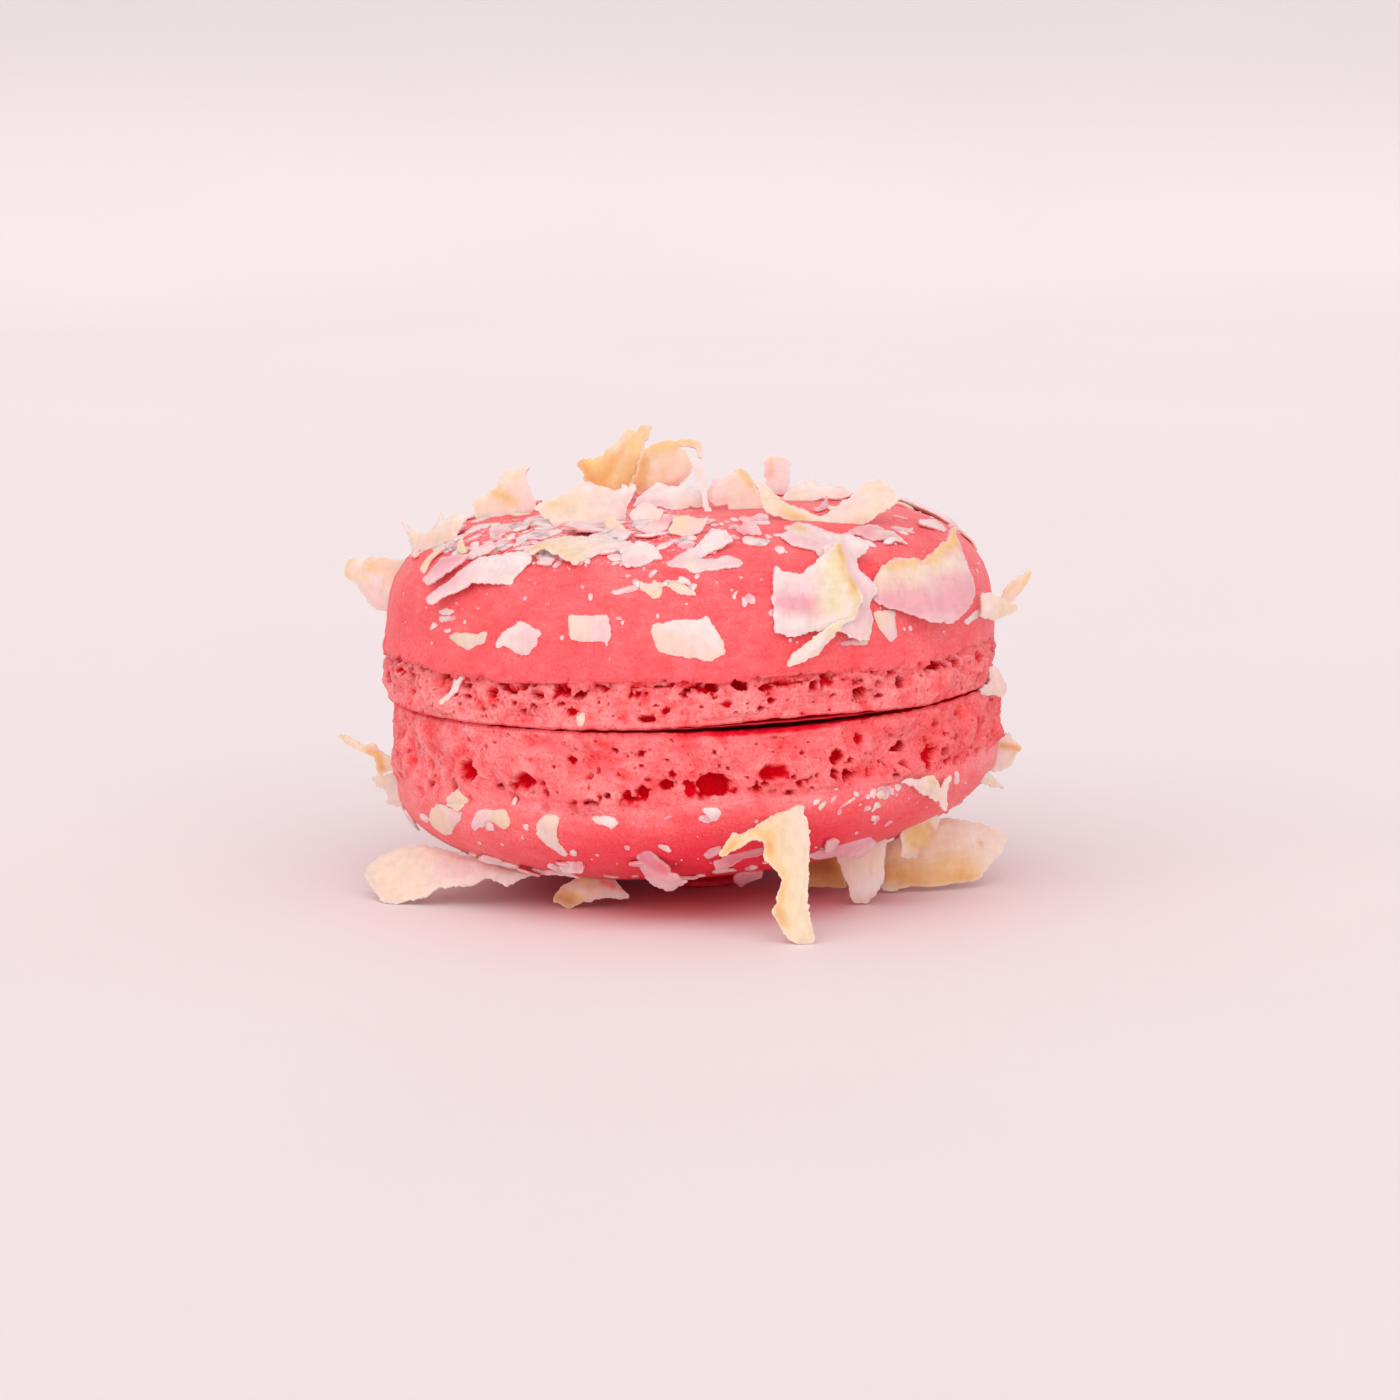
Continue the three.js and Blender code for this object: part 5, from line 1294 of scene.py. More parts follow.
    Chip("chip_left_fan", at=(-18.8, -3.0, 26.6), face=(-50, 68, 10), outline=(
        (-3.9, 0.9), (-2.3, 0), (-1, -0.3), (-0.2, -0.3), (0.3, 0.3), (0.5, 1.3), (1, 0.5), (2.3, 0.9),
        (3.6, 0.6), (2.9, -0.4), (2.5, -1.8), (0.7, -2.4), (-1.4, -2.2), (-2.3, -0.8),
    ), look=(
        CREAM, streak(IVORY, 0.7, 0.5, (-2.9, 0.2), (-1.1, -0.5)),
        streak(PEACH, 0.7, 0.6, (0.3, -1), (2.2, -1)), streak(WHITE, 0.5, 0.3, (0.9, 0.2), (1.3, -0.2)),
    )),
    Chip("chip_left_curl", at=(-23.6, 2.2, 22.0), face=(-28, 82, -8), cup=0.2, outline=(
        (3.1, 1.6), (2.4, -1.1), (1.9, -1.9), (0.4, -1.8), (-1, -0.8), (-1.1, -0.3), (-1.9, -0.3),
        (-2.3, 0), (-2.5, 0.5), (-2.5, 1.1), (-2.1, 1.5), (-1.6, 1.3), (-0.5, 1.9), (2.8, 2.2),
    ), look=(
        CREAM, streak(GOLD, 0.7, 0.3, (-2, 1.4), (-2.1, 1.3)),
        streak(GOLD, 0.6, 0.35, (-2.2, 0.3), (-2, -0.1)), streak(GOLD, 0.8, 0.4, (-0.3, 1), (0.5, 1)),
        streak(PEACH, 0.9, 0.9, (1.2, 1.4), (1.8, 0.9)), streak(WHITE, 0.9, 0.25, (-1.2, 0.5), (0.9, 0.4)),
        streak(GOLD, 0.5, 0.3, (-1.2, 0.4), (-0.3, 0.3)), streak(BLUSH, 0.7, 1, (0.9, -0.9), (1.4, -1.6)),
    )),
    Chip("chip_pink_flat", at=(9.3, -14.7, 27.1), face=(30, 26, -6), arch=0.05, outline=(
        (3, 0.2), (1.7, -0.8), (0.9, -0.4), (-1, -2.1), (-1.3, -2.1), (-1.1, -1.3), (-2.4, -0.6),
        (-2.8, 0.1), (-2.9, 1), (-1.9, 2.1), (-1.1, 2.5), (0.4, 1.3), (1.5, 0.9), (2.5, 1.1),
    ), look=(
        BLUSH, streak(GOLD, 0.9, 0.4, (-1.5, 1.8), (-1.3, 1.3)),
        streak(PINK, 0.5, 0.6, (-2.4, 0.3), (-1, -0.6)), streak(WHITE, 0.6, 0.8, (0.8, 0.2), (1.8, 0.2)),
    )),
    Chip("chip_right_flat", at=(12.9, -11.6, 27.2), face=(32, 24, 6), arch=0.06, outline=(
        (-2.8, 0.4), (-1.1, 1.1), (0.2, 1.3), (1.1, 0.9), (1.4, 0.1), (2.1, 0.3), (1.8, -0.5), (-0.3, -0.9),
        (-0.9, -0.7), (-1.3, 0.3),
    ), look=(
        PINK, streak(IVORY, 0.9, 0.4, (0.2, -0.2), (1.9, -0.2)),
        streak(ROSE, 0.3, 0.8, (-1.5, 0.6), (0.2, 0.5)), streak(BLUSH, 0.7, 0.35, (0.4, 1.1), (1, 0.5)),
    )),
    Chip("chip_right_tab", at=(17.6, -1.2, 27.6), face=(30, 62, -45), outline=(
        (-0.3, -2.6), (-0.1, -1.7), (0.6, -1.2), (1.3, -1.9),
    ), look=(
        CREAM, streak(GOLD, 0.7, 0.3, (0.5, -1.5), (0.3, -1.9)),
    )),
    Chip("chip_big_white", at=(8.6, -19.9, 24.2), face=(16, 66, 0), cup=0.06, arch=-0.05, outline=(
        (2.3, 3.7), (2.5, 1.4), (3.4, -0.8), (2.7, -2), (2.1, -2.5), (-1.9, -3.2), (-3.3, -2.9), (-3.3, 0),
        (-2.7, 2), (-1.9, 1.5), (-0.9, 1.3),
    ), look=(
        WHITE, streak(ROSE, 0.95, 0.75, (-2.6, -0.7), (-0.8, -0.9)),
        streak(PINK, 0.7, 1, (-2.5, -0.7), (-1, -1.1)), streak(BLUSH, 0.8, 1.2, (-2.4, 0.6), (-0.6, 0.8)),
        streak(STRAW, 0.9, 1, (1.7, 2.5), (1.2, -1.1)), streak(GOLD, 0.95, 0.55, (2.2, 3), (2.8, -0.1)),
        streak(TOAST, 0.7, 0.32, (2.35, 3.4), (2.9, -0.1)),
        streak(STRAW, 0.9, 0.4, (3.2, -0.4), (2.6, -1.9)),
    )),
    Chip("chip_white_tail", at=(8.7, -21.5, 20.8), face=(18, 86, 37), arch=0.04, outline=(
        (3.2, -0.3), (-0.9, -0.6), (-2.7, -0.1), (-2.9, 0.2), (-1.6, 0.5), (0.6, 0.4), (2.2, 0.2),
    ), look=(
        CREAM, streak(STRAW, 0.8, 0.5, (2.4, 0), (1.3, 0)),
        streak(WHITE, 0.6, 0.4, (-1.8, 0.1), (0.1, -0.2)),
    )),
    Chip("chip_pink_band", at=(11.85, -18.05, 24.3), face=(34, 64, 86), arch=0.06, outline=(
        (-4, 0.1), (-3.7, 1.5), (-3.1, 2.6), (0.2, 2), (3.1, 2.4), (3.7, 0.8), (3.9, -0.9), (3.1, -1.6),
        (2, -0.1), (1.2, -0.1), (0.4, -0.7), (0.1, -1.4), (-0.4, -1.3), (-1.4, -0.3), (-2.2, -0.6),
    ), look=(
        BLUSH, streak(WHITE, 0.8, 0.8, (3.4, -0.1), (3.1, -1.3)),
        streak(WHITE, 0.7, 0.5, (1, -0.2), (-0.1, -1.2)), streak(PINK, 0.4, 0.8, (-2, 0.5), (-2.6, 0.3)),
        streak(CREAM, 0.7, 0.5, (-3.1, 0.1), (-3.8, 0)),
    )),
    Chip("chip_big_pink", at=(16.8, -14.9, 23.6), face=(40, 68, 0), arch=0.04, cup=0.04, outline=(
        (-4.9, -0.4), (-4.9, 0.5), (-4.5, 1.4), (-3.8, 2.1), (-2.2, 2.7), (0.2, 2.3), (3.5, 3.8), (4, 4.5),
        (4.6, 4.7), (4.9, 4.5), (4.4, 4.1), (4.7, 0.1), (3.9, -1.1), (1.9, -2.4), (1.2, -2.6), (0.6, -2.3),
        (-0.2, -2.4),
    ), look=(
        PINK, streak(CREAM, 0.97, 1, (-3.9, 1.6), (-1.2, 1.4)),
        streak(CREAM, 0.97, 1.1, (-1.2, 1.4), (3.9, 1.9)),
        streak(GOLD, 0.85, 0.45, (-3.6, 2.2), (-0.6, 2.1)), streak(GOLD, 0.9, 0.55, (0.5, 2.2), (3.9, 3.6)),
        streak(GOLD, 0.9, 0.3, (4, 3.9), (4.6, 4.5)), streak(PEACH, 0.5, 0.7, (-4.5, 0.9), (-1.7, 0.9)),
        streak(BLUSH, 0.6, 0.5, (-1.1, -2), (1.3, -2.2)),
    )),
    Chip("chip_right_pale", at=(22.1, -7.5, 21.5), face=(34, 80, -4), outline=(
        (1.6, 0), (1.2, -0.4), (-0.6, -1), (-1.4, -1), (-1.9, -0.7), (-1.7, 1), (-0.7, 0.9),
    ), look=(
        IVORY, streak(WHITE, 0.8, 0.6, (-1.5, 0.6), (-1.3, -0.5)),
        streak(GOLD, 0.35, 0.3, (0.9, 0.1), (1.3, 0)),
    )),
    Chip("chip_right_toast", at=(23.6, -1.8, 22.0), face=(20, 85, 48), outline=(
        (1.8, 0.1), (1.6, -0.2), (-1, -0.3), (-1.4, 0.2), (-1.4, 0.7), (0.1, 0.8),
    ), look=(
        CREAM, streak(GOLD, 0.9, 0.3, (1.6, 0), (0.4, -0.1)),
        streak(GOLD, 0.6, 0.25, (-1, 0.7), (0.2, 0.5)), streak(TOAST, 0.5, 0.2, (0, -0.2), (-0.3, -0.2)),
    )),
    Chip("chip_seam_tooth", at=(22.3, -5.4, 15.9), face=(52, 88, -62), outline=(
        (-1, -2.7), (-0.6, -1.3), (-1.7, -0.9), (-1.2, 0), (0.8, 0.1), (1.1, -0.2), (0.8, -1), (-0.6, -2.8),
    ), look=(
        BLUSH, streak(IVORY, 0.7, 0.5, (-0.6, -2.5), (0.4, -1)),
        streak(CREAM, 0.6, 0.4, (-1.2, -0.6), (-0.8, -0.8)),
    )),
    Chip("chip_left_twig", at=(-24.2, 1.6, 9.2), face=(-30, 85, -26), outline=(
        (-2.8, 0.1), (-2.6, 0.4), (-0.3, 0.8), (0.3, 1.3), (1.2, 1), (2, 1.1), (3.3, 1.7), (3.6, 1.1),
        (2.3, 0.1), (2, -0.5), (1.5, -0.4), (1.1, 0.2), (0.5, 0.4), (-1.5, 0),
    ), look=(
        IVORY, streak(GOLD, 0.8, 0.3, (-2.7, 0.2), (-2.3, 0.3)),
        streak(TOAST, 0.9, 0.45, (1.1, 0.6), (1.8, 0.1)), streak(GOLD, 0.7, 0.4, (0.1, 0.6), (0.8, 0.6)),
    )),
    Chip("chip_left_pale", at=(-23.0, 2.6, 7.2), face=(-40, 95, 20), outline=(
        (3, -0.9), (2.1, -2.1), (0.9, -2.2), (-0.2, -1.7), (0.2, -1.1), (0.1, -0.6), (-0.6, -0.3),
        (-0.7, 0.5), (2.3, 0.1),
    ), look=(
        CREAM, streak(BLUSH, 0.8, 0.6, (1.1, -1.3), (1.3, -1.9)),
        streak(IVORY, 0.6, 0.4, (-0.3, 0.2), (-0.1, -0.2)),
    )),
    Chip("chip_right_hook", at=(17.1, -14.2, 8.9), face=(50, 98, -25), cup=0.05, outline=(
        (-4.2, -0.5), (-3.8, 0), (-1.9, 0.4), (-1.7, 0.9), (-0.7, 1.2), (0.6, 0.6), (0.7, 1.4), (1.3, 1.9),
        (1.5, 0.3), (2.2, -0.6), (1.5, -0.6), (1.1, -0.3), (-1.5, -0.4), (-2.6, -0.2),
    ), look=(
        CREAM, streak(BLUSH, 0.9, 0.5, (-4, -0.3), (-2.2, 0)),
        streak(GOLD, 0.5, 0.4, (-1.2, 0.8), (-0.6, 0.8)), streak(WHITE, 0.6, 0.25, (1.1, 1.6), (1.2, 0.2)),
    )),
    Chip("chip_right_corner", at=(21.6, -3.8, 8.8), face=(62, 100, -32), outline=(
        (3.4, 0.2), (0.1, -0.9), (-2, -1.4), (-2.9, -1.3), (-2, -0.1),
    ), look=(
        IVORY, streak(WHITE, 0.8, 0.5, (-2.3, -1), (-0.8, -0.5)),
    )),
    Chip("chip_right_wing", at=(23.3, 1.6, 9.4), face=(30, 88, 68), outline=(
        (-1.9, 0.9), (-0.4, 1.9), (0.9, 2), (1.4, 0.6), (1, 0.3), (1, -0.4), (0.6, -0.9), (0.2, -0.4),
        (-0.7, -0.5),
    ), look=(
        CREAM, streak(TOAST, 0.85, 0.3, (0.3, 1.1), (0.6, -0.7)),
        streak(BLUSH, 0.7, 0.4, (-0.5, 0.7), (-0.4, 0.1)),
    )),
    Chip("chip_right_curl", at=(16.4, -8.8, 4.7), face=(52, 118, 62), cup=0.2, outline=(
        (0, 2.8), (1.8, 1.9), (2.2, 0.2), (2, -0.5), (0.7, -1.4), (0.1, -1.5), (-0.4, -0.9), (-0.9, -0.9),
        (-1.1, -1.8), (-1.9, 0.9),
    ), look=(
        IVORY, streak(TOAST, 0.95, 0.4, (0.4, 1.6), (0.3, 0.2)),
        streak(GOLD, 0.9, 0.9, (0, 1.6), (0.2, -1)), streak(TOAST, 0.7, 0.25, (1.2, 1), (0.9, -0.6)),
        streak(WHITE, 0.8, 0.35, (-1.7, 0), (-1.2, -1.4)),
        streak(TOAST, 0.6, 0.2, (-0.6, 1.2), (-0.5, -0.4)), streak(BLUSH, 0.8, 0.3, (1.8, 1.2), (2, 0)),
    )),
    Chip("chip_hanging_pink", at=(-2.2, -18.5, 3.9), face=(-6, 128, -32), arch=0.06, outline=(
        (-2.2, 1.9), (-1.8, 2), (-1.5, 1.5), (0.3, 0.9), (0.4, 0.5), (1.3, 0.3), (1.5, -0.1), (2.1, 0.2),
        (1.8, -1), (1.3, -1.6), (0.7, -1.3), (0, -1.5), (-1.3, -0.6), (-2.4, 0.6), (-2.5, 1.4),
    ), look=(
        PINK, streak(ROSE, 0.8, 0.7, (-1.9, 0.7), (-0.4, 0.8)),
        streak(BLUSH, 0.7, 0.8, (-0.1, -1), (1.3, -0.7)), streak(SKIN, 0.5, 0.5, (-0.5, 1.2), (0.1, 0.9)),
    )),
    Chip("chip_hanging_strip", at=(3.1, -17.9, 4.2), face=(10, 126, 18), arch=0.05, outline=(
        (3, 2), (2.7, 0.7), (0.2, 0.7), (-1.3, 0), (-1.6, 1.1), (1.6, 2.1),
    ), look=(
        ROSE, streak(PINK, 0.8, 0.4, (-1.4, 0.8), (-0.8, 0.6)),
        streak(PINK, 0.6, 0.3, (0.6, 1.3), (2.2, 1.3)),
    )),
    Chip("chip_right_under", at=(11.1, -13.4, 4.5), face=(40, 130, 14), arch=0.06, outline=(
        (-3.5, 0.9), (-2, 1.5), (2.5, 2.4), (2.6, 1.5), (1.9, 1.4), (2.6, -0.4), (1.3, -1.2), (0.3, -0.5),
        (-1.9, 0.2), (-2.4, 0.1),
    ), look=(
        PINK, streak(BLUSH, 0.8, 0.35, (0.8, 2), (2.2, 2.2)), streak(BLUSH, 0.6, 0.5, (0.1, 0), (2.1, 0)),
        streak(ROSE, 0.3, 0.5, (-2.2, 1), (-0.9, 1.1)),
    )),
    Chip("chip_leaning", at=(7.1, -23.0, 4.9), face=(8, 63, 90), arch=0.03, outline=(
        (-5.5, -1.1), (-5.1, 0.6), (-3.3, 1.6), (-2.9, 1.7), (-0.9, 0.9), (-0.4, 1), (0.9, 2.1), (2.2, 2),
        (2.4, 2.9), (1.6, 3.8), (1.7, 4.1), (1.1, 4.9), (1.3, 5.3), (2.8, 4.3), (3, 3.9), (2.7, 3.6),
        (5.4, -0.7), (5.1, -1), (2.3, -1.3), (-2, -0.8),
    ), look=(
        STRAW, streak(CREAM, 0.85, 0.9, (4.7, -0.6), (0.7, -0.6)),
        streak(IVORY, 0.9, 1.1, (0.7, -0.5), (-4.9, -0.6)), streak(GOLD, 0.8, 0.4, (2.8, 2.4), (2.5, 1.5)),
        streak(GOLD, 0.8, 0.35, (2.2, 1.8), (1.1, 1.7)), streak(TOAST, 0.6, 0.3, (1.9, 1.7), (1.4, 1.6)),
        streak(GOLD, 0.6, 0.35, (0.5, 1.4), (-0.4, 0.8)),
        streak(TOAST, 0.7, 0.22, (-1.3, 0.9), (-2.1, 1.1)),
        streak(GOLD, 0.8, 0.35, (-0.9, 0.8), (-2.5, 1.2)),
        streak(TOAST, 0.7, 0.35, (-2.8, 1.3), (-3.8, 1.1)), streak(GOLD, 0.7, 0.4, (1.3, 5.1), (2.2, 4)),
        streak(TOAST, 0.6, 0.25, (1.4, 4.8), (1.9, 4.3)), streak(GOLD, 0.4, 0.4, (2.8, 3.1), (3.1, 2.4)),
    )),
    Chip("chip_floor_left", at=(-18.1, -9.4, 1.9), face=(-26, 52, 4), arch=0.03, cup=0.05, outline=(
        (6.9, 1.1), (5, -0.3), (3.5, 0.3), (2.6, -0.4), (-0.1, -0.7), (-1.1, -1.4), (-3.6, -2),
        (-4.4, -1.8), (-6.7, 0.5), (-6.7, 1.3), (-6, 1.9), (-4, 3), (-2.8, 3.1), (1.9, 1.9),
    ), look=(
        CREAM, streak(IVORY, 0.6, 2.0, (-5.5, 0.7), (-3.1, -0.9)),
        streak(CREAM, 0.5, 1.2, (-3, 1.4), (1.5, 0.6)), streak(BLUSH, 0.6, 1.6, (1, 0.9), (5.3, 0.7)),
        streak(GOLD, 0.35, 0.2, (-2.6, 1.1), (-2.3, 1.1)),
    )),
    Chip("chip_floor_toast", at=(-7.3, -10.6, 1.1), face=(-8, 68, -8), cup=0.15, outline=(
        (2.9, 0.3), (2.8, 0), (1.3, -0.1), (-0.3, -0.7), (-1.4, -1.4), (-2.3, -1), (-2.7, -1.1),
        (-2.3, 0.3), (-1.9, 0.4), (-1.1, 1.3), (1.1, 1.7), (2.2, 0.6),
    ), look=(
        CREAM, streak(GOLD, 0.9, 0.8, (-2.2, -0.3), (-0.9, -0.6)),
        streak(BROWN, 0.75, 0.4, (-2.4, -0.7), (-1.5, -0.8)),
        streak(TOAST, 0.7, 0.35, (-2.6, 0.1), (-2.5, -0.8)),
        streak(WHITE, 0.8, 0.25, (-1.8, 0.3), (-0.4, 0)), streak(GOLD, 0.6, 0.5, (-0.9, 0.9), (-0.4, 0.6)),
        streak(BLUSH, 0.5, 0.6, (1.4, 0.1), (2.6, 0.2)), streak(SKIN, 0.8, 0.22, (0.6, 0.9), (1.5, 0.7)),
    )),
    Chip("chip_floor_tooth", at=(12.2, -9.7, 2.0), face=(15, 106, 90), outline=(
        (3.6, -1.4), (-0.4, -1.6), (-2, -0.5), (-1.9, 0.3), (-1.6, 0.7), (2.2, 2.2),
    ), look=(
        CREAM, streak(IVORY, 0.5, 1.2, (1.7, 1.3), (1.8, -0.8)),
        streak(WHITE, 0.9, 1.0, (-0.8, 0.2), (-0.4, -0.8)),
    )),
    Chip("chip_floor_right", at=(18.6, -2.6, 2.4), face=(22, 76, 4), arch=0.04, outline=(
        (-5.5, -1.6), (-5.1, 1.4), (-0.9, 2.8), (0.3, 2.9), (4.6, 1.6), (5.3, 0.9), (4.4, -0.3), (1.9, -2),
        (-2, -2), (-3.2, -1.7), (-4.6, -1.9),
    ), look=(
        IVORY, streak(GOLD, 0.9, 1.3, (-4.3, -0.6), (0.1, -1.4)),
        streak(TOAST, 0.6, 0.6, (-5, -0.5), (-3.1, -1.3)),
        streak(GOLD, 0.5, 0.7, (-0.2, -0.1), (1.6, -1.1)), streak(CREAM, 0.9, 1.3, (0.2, 2.3), (4.1, 1)),
        streak(WHITE, 0.5, 0.8, (2.2, 1.2), (4.4, 0.4)), streak(CREAM, 0.8, 0.7, (3.7, 0.2), (3.1, -0.7)),
        streak(TOAST, 0.6, 0.2, (2.7, 0.7), (2.8, 0.6)), streak(TOAST, 0.5, 0.5, (0.4, -1.7), (1.6, -1.8)),
    )),
    Chip("chip_floor_inner", at=(9.2, -5.2, 1.1), face=(0, 70, 4), outline=(
        (-1.6, 1.9), (1.5, 1.9), (2, -0.7), (-1.7, -0.3),
    ), look=(
        GOLD, streak(TOAST, 0.9, 0.8, (-1, 1.1), (1, 0.5)),
        streak(BROWN, 0.6, 0.5, (-0.4, 1.1), (0.6, 0.8)),
    )),
)

# chips of the same kinds on the far side: on the crowns' shoulders, and standing on the table
FAR_CHIPS = (
    dict(name="far_upper", count=6, azimuths=(110, 250), tilt=(22, 50), shell=UPPER, climb=(0.22, 0.5)),
    dict(name="far_lower", count=3, azimuths=(120, 240), tilt=(95, 115), shell=LOWER, climb=(0.1, 0.25)),
    dict(name="far_floor", count=4, azimuths=(125, 250), tilt=(55, 75), radius=(14, 17), height=(1.3, 1.6)),
)
FAR_CHIP_LENGTH = 5.6
FAR_LOOKS = (
    (BLUSH, streak(WHITE, 0.7, 0.7, (-2, 1), (2, 1))),
    (CREAM, streak(GOLD, 0.8, 0.8, (-2, 1.6), (2, 1.6)), streak(IVORY, 0.6, 1.2, (-2.6, -1), (-2.6, 1))),
    (CREAM, streak(GOLD, 0.8, 1.2, (-2, -1), (1, -1)), streak(TOAST, 0.7, 0.6, (-2, -1.4), (1, -1.4))),
    (WHITE, streak(GOLD, 0.9, 0.7, (2.4, -1), (2.4, 1)), streak(PINK, 0.7, 1, (-1, 0.2), (0, 0))),
)
# a chip under the macaron, crimson all over and at its rim too: painted dark-red shadow under the shells
SHADOWED_PAD_CHIP = Chip("chip_pad", at=(0.4, 0.2, 0.4), face=(20, 0, 0), thickness=1.15, rim=CRIMSON, outline=(
    (-3.7, 0.6), (-2.5, 1.9), (0, 2.4), (2.4, 2), (3.7, 0.9), (3.6, -0.8), (2, -2.2), (-0.6, -2.3),
    (-3.4, -1.2),
), look=(
    CRIMSON,
))


def far_place(kind, azimuth, i, seed):
    """The middle of a far chip, over the table or on a crown."""
    turn = math.radians(azimuth)
    if "radius" in kind:
        radius, height = between(*kind["radius"], i, seed), between(*kind["height"], i, seed + 0.5)
        return on_circle(UPPER, turn, radius, height)
    shell = kind["shell"]
    length = OUTLINES[shell.name].of_climb(shell, between(*kind["climb"], i, seed))
    turn, length = np.array([turn]), np.array([length])
    place = on_shell(shell, turn, length) + CHIP_THICKNESS * shell_normals(shell, turn, length)
    return placed(shell_matrix(shell), place)[0]


def far_chips(kind, group):
    """The chips of one of the kinds above: leaf shaped, with uneven corners."""
    count, seed = kind["count"], 31 + 10 * group
    first, last = kind["azimuths"]
    chips = []
    for i in range(count):
        azimuth = first + (last - first) * (i + 0.6 * chance(i, seed)) / count
        size = between(0.8, 1.35, i, seed + 2)
        station = np.arange(5)
        bulge = 0.35 + 1.15 * np.sin(math.pi * (station + 0.6) / 5.2)
        high, low = (size * bulge * between(0.7, 1.2, station + 5 * i, seed + shift) for shift in (9, 9.5))
        along = FAR_CHIP_LENGTH * size * (station / 4 - 0.5)
        outline = np.concatenate([np.stack([along, high], -1), np.stack([along, -low], -1)[::-1]])
        face = (
            azimuth + between(-20, 20, i, seed + 4),
            between(*kind["tilt"], i, seed + 5),
            between(-30, 30, i, seed + 6),
        )
        chips.append(
            Chip(
                f"chip_{kind['name']}_{i + 1}", far_place(kind, azimuth, i, seed + 1), face, outline,
                cup=between(0, 0.15, i, seed + 7), arch=between(0, 0.08, i, seed + 8),
                look=FAR_LOOKS[(i + group) % len(FAR_LOOKS)],
            )
        )
    return chips


def bend(distance, curvature, offset):
    """Bends a length: the place across and out of the plane for something at an offset from it."""
    if curvature == 0:
        return distance, offset
    radius = 1 / curvature + offset
    return radius * np.sin(curvature * distance), radius * np.cos(curvature * distance) - 1 / curvature


RAGGED = 0.11  # how uneven a chip's broken edge is
CHIP_WAVES = ((0.16, 2.6), (0.06, 0.95))
CHIP_PITS = 0.02
CHIP_TAPER = 0.55  # how far in from its edge a chip has its full thickness


def chip_mesh(chip, seed):
    """Points, triangles and colours of one chip."""
    sheet = cut_sheet(chip.outline, SHEET_STEP, RAGGED, seed)
    x, y = sheet.flat.T
    half = 0.5 * chip.thickness * (0.3 + 0.7 * smooth(sheet.inside, 0, CHIP_TAPER))
    wave = layered(x, y, CHIP_WAVES, seed + 6)
    pits = CHIP_PITS * flat_noise(x * 0.35, y, 0.3, seed + 8)
    colour = tinted(chip.look, chip.rim, sheet.flat, sheet.inside, seed)
    turn = np.radians(chip.twist) * x / np.ptp(x)
    heading, tilt, turned = chip.face
    matrix = translation(*chip.at) @ rotation("Z", heading) @ rotation("X", tilt) @ rotation("Z", turned)
    sides = []
    for layer in (1, -1):
        across, out = bend(y, chip.cup, wave + layer * (half + pits))
        across, out = across * np.cos(turn) - out * np.sin(turn), across * np.sin(turn) + out * np.cos(turn)
        along, out = bend(x, chip.arch, out)
        sides.append(placed(matrix, np.stack([along, across, out], -1)))
    return slab(sheet.triangles, *sides, colour)


# -------------------------------------------------------------------------------------- the filling


FILLING_COLUMNS = 480


def filling_mesh():
    """A thin smear with a soft, wavy rim, which thins to the seam outside the hollows."""
    columns = FILLING_COLUMNS
    half, lip = FILLING_THICKNESS / 2, SEAM_GAP / 2
    bulge = np.linspace(-math.pi / 2, math.pi / 2, 7)
    inner = np.linspace(0, FILLING_RADIUS + 0.4, 6)
    profile_radius = np.concatenate([inner, FILLING_RIM - lip + lip * np.cos(bulge), inner[::-1]])
    profile_height = np.concatenate([np.full(6, -half), lip * np.sin(bulge), np.full(6, half)])
    azimuth = np.linspace(-math.pi, math.pi, columns, endpoint=False)[:, None]
    waves = FILLING_WAVES * (1 + np.sin(4 * azimuth) * np.cos(7 * azimuth))
    waves = waves + 0.12 * (1 + np.sin(23 * azimuth + 1) * np.sin(31 * azimuth))
    radius = profile_radius * (1 - waves / FILLING_RADIUS)
    height = np.broadcast_to(profile_height, radius.shape)
    lifted = 0.5 * (lift(UPPER, azimuth) + lift(LOWER, azimuth)) * rim_share(profile_radius)
    points = on_circle(UPPER, azimuth, radius, height + lifted).reshape(-1, 3)
    count = len(profile_radius)
    order = np.arange(columns * count)
    order[np.arange(columns) * count] = 0
    order[np.arange(columns) * count + count - 1] = count - 1
    colours = np.broadcast_to(np.append(CRIMSON, 0), (len(points), 4))
    triangles = order[grid_triangles(columns, count, closed=True)]
    matrix = MACARON @ translation(0, 0, SEAM_GAP / 2)
    return without_waste(placed(matrix, points), triangles, colours)


# ---------------------------------------------------------------------------------------- materials


# nearly all of what a noise texture gives lies between these
NOISE_RANGE = {"From Min": 0.3, "From Max": 0.7}
MULTIPLY = dict(data_type="RGBA", blend_type="MULTIPLY")
# tints that a material wanders between: the meringue's in patches, strokes and a grain, and the others'
PATCHES = ((0.97, 0.78, 0.8), (1.0, 1.14, 1.12))
STROKES = ((0.99, 0.82, 0.83), (1.0, 1.17, 1.15))
GRAIN = ((0.96, 0.7, 0.72), (1.03, 1.3, 1.27))
FIBRES = ((0.88, 0.93, 0.95), (0.96, 1.03, 1.05))
SMEARS = ((0.8, 0.8, 0.8), (1.1, 1.1, 1.1))
FLOOR_CLOUDS = ((0.99, 0.99, 0.99), (1.01, 1.01, 1.01))
# the meringue's pinholes, painted in the pits' shade colour, and its specks of dust: where they are
# densest, how sharp and how strong
PINHOLE_DARKNESS = 0.55
DUSTIEST = 0.62
SPECK_EDGE = (1.02, 1.16)
SPECK_STRENGTH = 0.7


